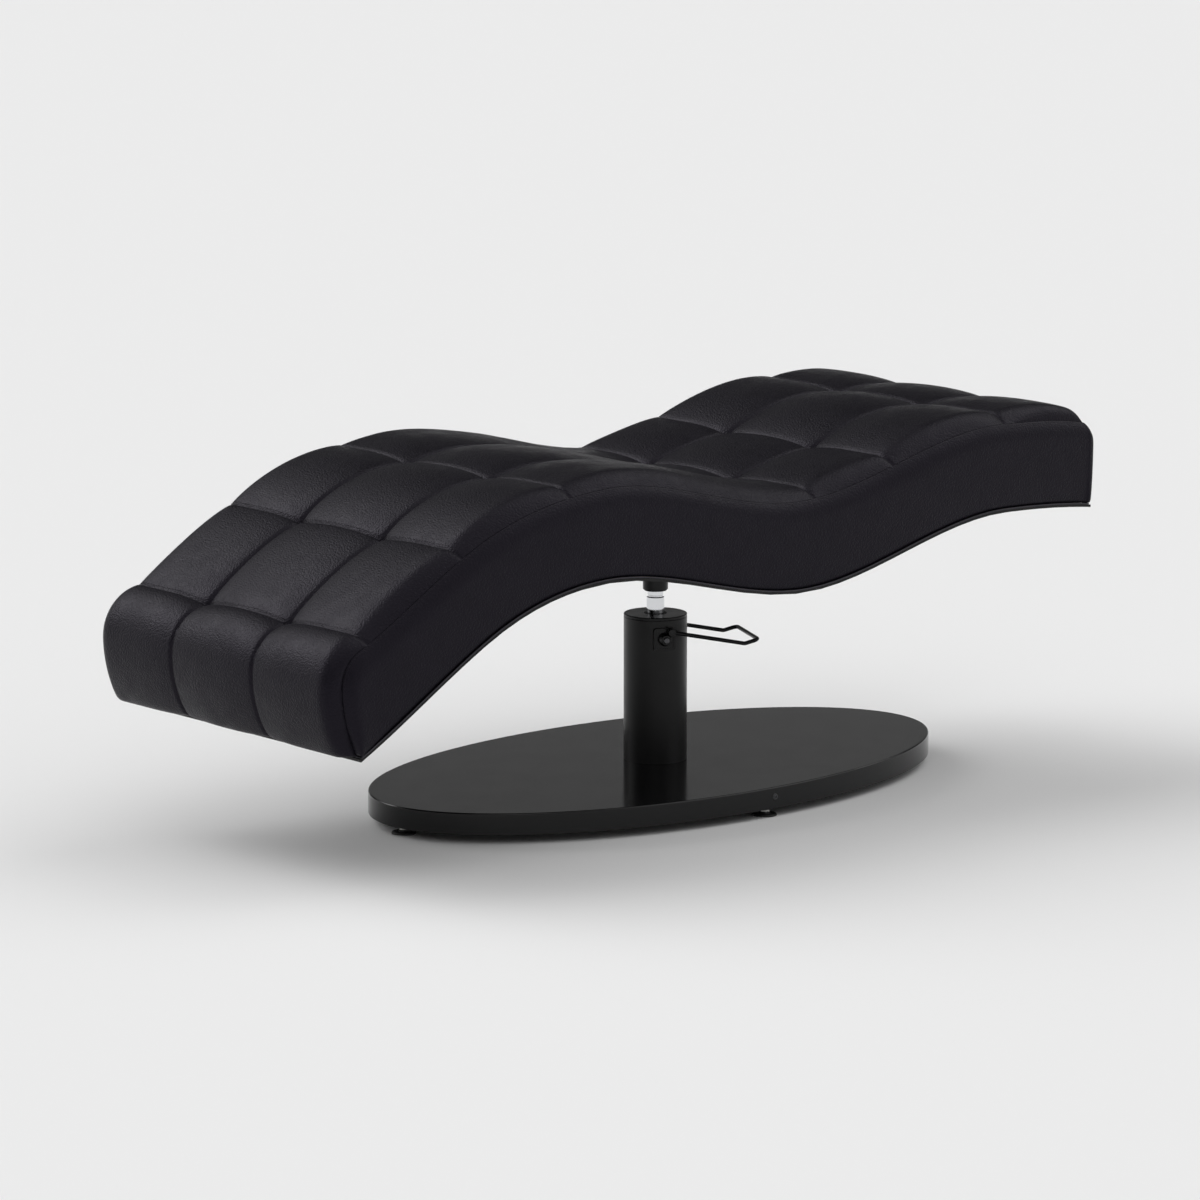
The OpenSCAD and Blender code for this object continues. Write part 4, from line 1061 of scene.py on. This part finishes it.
# %% Stitches along the rows and the long seams
def stitch_spot(hits):
    """Place, run and outward direction from three rays, if all of them hit."""
    if all(hit[0] for hit in hits):
        return [(hits[1][0], hits[2][0] - hits[0][0], hits[1][1])]
    return []


def row_stitches(beside=0.0055, margin=0.004):
    skin = skin_of(quilt)
    spots = []
    count = int(2 * (TOP_HALF - margin) / PITCH)
    for row in ROWS[1:-1]:
        place, out = along(row + beside)
        out = Vector((out.x, 0, out.y))
        for i in range(count):
            y = -TOP_HALF + margin + PITCH * (i + 0.5)
            start = Vector((COLUMN_X + place.x, y, place.y)) + out * 0.08
            spots += stitch_spot([skin.ray_cast(start + Vector((0, dy, 0)), -out)
                                  for dy in (-REACH, 0, REACH)])
    return lay_stitches("row_stitches", spots)


def side_stitches(first=0.05, last=0.01, beside=0.0052):
    skin = skin_of(band)
    spots = []
    count = int((PATH_END - (first + last)) / PITCH)
    for side in (-1, 1):
        for i in range(count):
            s = first + PITCH * i
            hits = []
            for ds in (-REACH, 0, REACH):
                place, out = along(s + ds)
                seam_point = Vector((COLUMN_X + place.x, side * TOP_HALF, place.y))
                lean = Vector((out.x, side * 0.55, out.y)).normalized()
                over = Vector((0, side * beside, 0))
                hits.append(skin.ray_cast(seam_point + over + lean * 0.03, -lean))
            spots += stitch_spot(hits)
    return lay_stitches("side_stitches", spots)


finish(row_stitches(), THREAD, "bed", "leather")
finish(side_stitches(), THREAD, "bed", "leather")

# %% [markdown]
# ## The oval base
# The base is a steel plate under a shallow pressed cover. A cylinder is squeezed into an
# oval, its top edge is bevelled where the press rounds it, and its floor is taken out, so
# that it is a real tray turned upside down with a 3 mm wall.

# %% Base cover
COVER_WALL = 0.003


def build_base_cover():
    low, high = (Vector(v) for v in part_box("base_cover"))
    size, centre = high - low, (high + low) / 2
    bpy.ops.mesh.primitive_cylinder_add(
        vertices=320, radius=0.5, depth=size.z, location=centre, end_fill_type="NGON")
    cover = bpy.context.active_object
    cover.name = cover.data.name = "oval_cover"
    cover.scale = (size.x, size.y, 1)
    put(cover)
    edit(cover)
    bpy.ops.mesh.select_all(action="DESELECT")
    shape = bmesh.from_edit_mesh(cover.data)
    bmesh.ops.delete(
        shape, geom=[f for f in shape.faces if f.normal.z < -0.9], context="FACES_ONLY")
    for line in shape.edges:
        if all(abs(v.co.z - high.z) < 1e-5 for v in line.verts):
            line.select_set(True)
    bmesh.update_edit_mesh(cover.data)
    bpy.ops.mesh.bevel(offset=0.003, segments=5, affect="EDGES")
    leave_edit()
    modify(cover, "SOLIDIFY", thickness=COVER_WALL, offset=-1)
    face_outwards(cover)
    smooth(cover, 30)
    even_light(cover)
    return cover


finish(build_base_cover(), GLOSS_PAINT, "base", "base_paint", "base_cover")

# %% [markdown]
# ## Column, cap, ram and socket
# These are turned parts on one axis. The cap is as wide as the tube, so only a fine groove
# shows where they meet. The chrome ram narrows to a neck under the black socket.

# %% Turned parts of the column
AXIS = (COLUMN_X, 0.0)
TUBE_R, RAM_R, GROOVE_R, NECK_R, SOCKET_R = 0.0625, 0.0175, 0.0150, 0.0155, 0.02475
tube_low, tube_high = (v[2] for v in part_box("column_tube"))
cap_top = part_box("column_cap")[1][2]
column = turned("column_tube_dressed", [
    (0.0600, tube_low, 0), (TUBE_R, tube_low, 0.0005), (TUBE_R, tube_high - 0.0004, 0.0005),
    (0.0618, tube_high, 0)], AXIS, 128)
finish(column, SATIN_PAINT, "base", "column_paint", "column_tube")

cap = turned("column_cap_dressed", [
    (0.0600, tube_high + 0.0003, 0), (TUBE_R, tube_high + 0.0003, 0.0005),
    (TUBE_R, cap_top, 0.0018), (0.0228, cap_top, 0.0006), (0.0221, tube_high + 0.001, 0)],
    AXIS, 128)
finish(cap, SATIN_PAINT, "base", "column_paint", "column_cap")

ram_low, ram_high = (v[2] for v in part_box("ram"))
ram = turned("chrome_ram", [
    (0.0160, ram_low, 0), (RAM_R, ram_low, 0.0008), (RAM_R, 0.3838, 0.0006),
    (GROOVE_R, 0.3853, 0.0005), (GROOVE_R, 0.3872, 0.0004), (NECK_R, 0.3880, 0.0003),
    (NECK_R, ram_high, 0)], AXIS, 96)
finish(ram, CHROME, "bed", "chrome", "ram")

socket_low, socket_high = (v[2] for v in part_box("ram_socket"))
socket = turned("ram_socket_dressed", [
    (0.0160, socket_low, 0), (0.0218, socket_low, 0.0006), (SOCKET_R, socket_low + 0.003, 0.001),
    (SOCKET_R, socket_high, 0)], AXIS, 96)
finish(socket, SATIN_PAINT, "bed", "column_paint", "ram_socket")

# %% [markdown]
# ## The lever
# A bent wire is the pump's lever. It leaves a small hub at the column, falls gently, kicks up
# again and crosses to the other side, where it comes back as a mirror image. The bends are
# rounded as a bending machine leaves them.

# %% Lever wire
SHAFT_Z = 0.310
LEVER_TURN = math.radians(-24.5)
LEVER = Matrix.Translation((COLUMN_X, 0, SHAFT_Z)) @ Matrix.Rotation(LEVER_TURN, 4, "Z")
WIRE_R = 0.004
EAR_X, EAR_Z = 0.0120, 0.0146


def build_wire():
    leg = 0.072
    fall, rise = math.tan(math.radians(11.2)), math.tan(math.radians(14.3))
    start, bend, bar = 0.005, 0.162, 0.190
    start_z = EAR_Z + (EAR_X - start) * fall
    bend_z = EAR_Z - (bend - EAR_X) * fall
    bar_z = bend_z + (bar - bend) * rise
    near = [((start, -leg, start_z), 0), ((bend, -leg, bend_z), 0.012),
            ((bar, -leg, bar_z), 0.010)]
    far = [((x, -y, z), radius) for (x, y, z), radius in reversed(near)]
    wire = tube("wire_bail", rounded_path(near + far, 8), WIRE_R, sides=6)
    put(wire, LEVER)
    face_outwards(wire)
    smooth(wire, 60)
    return wire


finish(build_wire(), SATIN_PAINT, "lever", "column_paint", "lever_wire")

# %% [markdown]
# The wire's legs end in two small cast hubs, one on each side of the column. A hub is turned,
# narrower at its outer face, and has a round ear above it that grips the wire.

# %% Lever hubs
def build_hubs():
    parts = []
    for side in (-1, 1):
        turn = LEVER @ Matrix.Rotation(math.radians(-90 * side), 4, "X")
        hub = turned("lever_hub", [
            (0.0120, 0.0670, 0), (0.0130, 0.0670, 0.0003), (0.0130, 0.0705, 0.0012),
            (0.0098, 0.0790, 0.0012), (0.0030, 0.0790, 0)], sides=48)
        put(hub, turn)
        bpy.ops.mesh.primitive_cylinder_add(
            vertices=40, radius=0.0078, depth=0.0116, location=(EAR_X, -EAR_Z * side, 0.0729))
        ear = bpy.context.active_object
        edit(ear)
        bpy.ops.mesh.select_all(action="SELECT")
        bpy.ops.mesh.bevel(offset=0.0012, segments=3, affect="EDGES")
        leave_edit()
        put(ear, turn)
        parts += [hub, ear]
    pick(parts[0])
    for part in parts:
        part.select_set(True)
    bpy.ops.object.join()
    hubs = bpy.context.view_layer.objects.active
    hubs.name = hubs.data.name = "cast_hubs"
    face_outwards(hubs)
    smooth(hubs, 40)
    even_light(hubs)
    return hubs


finish(build_hubs(), SATIN_PAINT, "lever", "column_paint", "lever_hubs")

# %% [markdown]
# ## Floor and light
# The floor is a plain pale sheet. The light comes from the world: a dim sky with wide bright
# panels, like the soft boxes round a product table. At infinity they light the floor evenly,
# and their shapes still show in paint and chrome. A pale band lies along the horizon, where
# the floor ends. Each panel is given by its azimuth, elevation and strength.

# %% Floor
PALE = (0.828, 0.828, 0.828)
bpy.ops.mesh.primitive_plane_add(size=120, location=(0, 0, 0))
floor = bpy.context.active_object
floor.name = floor.data.name = "floor"
coat(floor, new_material("pale floor", PALE, 1.0, 0.0, 0.0)[0])

# %% World light
SKY = 0.05
PANELS = (
    (0, 90, 0.70), (104, 45, 1.35), (128, 38, 2.80), (225, 44, 0.80),
    (270, 44, 0.40), (315, 44, 0.30), (350, 46, 1.55), (300, 16, 0.60),
)
PANEL_CORE = math.radians(12)
PANEL_EDGE = math.radians(32)


def glow(tree, value, low, high, strength):
    """A soft step from nothing at low to strength at high."""
    fade = add(tree, "ShaderNodeMapRange", interpolation_type="SMOOTHSTEP")
    fade.inputs["From Min"].default_value = low
    fade.inputs["From Max"].default_value = high
    fade.inputs["To Max"].default_value = strength
    tree.links.new(value, fade.inputs["Value"])
    return fade.outputs["Result"]


def build_world():
    world = bpy.data.worlds.new("studio")
    bpy.context.scene.world = world
    world.use_nodes = True
    tree = world.node_tree
    tree.nodes.clear()
    out = tree.nodes.new("ShaderNodeOutputWorld")
    way = tree.nodes.new("ShaderNodeTexCoord").outputs["Generated"]
    split = tree.nodes.new("ShaderNodeSeparateXYZ")
    tree.links.new(way, split.inputs[0])
    total = glow(tree, split.outputs["Z"], 0.10, 0.02, PALE[0] - SKY)
    total = maths(tree, "ADD", total, glow(tree, split.outputs["Z"], 0.30, 0.21, 0.15))
    inner, outer = math.cos(PANEL_CORE), math.cos(PANEL_EDGE)
    for azimuth, elevation, strength in PANELS:
        a, e = math.radians(azimuth), math.radians(elevation)
        dot = add(tree, "ShaderNodeVectorMath", operation="DOT_PRODUCT")
        dot.inputs[1].default_value = (
            math.cos(e) * math.cos(a), math.cos(e) * math.sin(a), math.sin(e))
        tree.links.new(way, dot.inputs[0])
        panel = glow(tree, dot.outputs["Value"], outer, inner, strength)
        total = maths(tree, "ADD", total, panel)
    total = maths(tree, "ADD", total, SKY)
    lit = tree.nodes.new("ShaderNodeBackground")
    lit.inputs["Color"].default_value = (1, 1, 1, 1)
    tree.links.new(total, lit.inputs["Strength"])
    tree.links.new(lit.outputs[0], out.inputs["Surface"])


build_world()
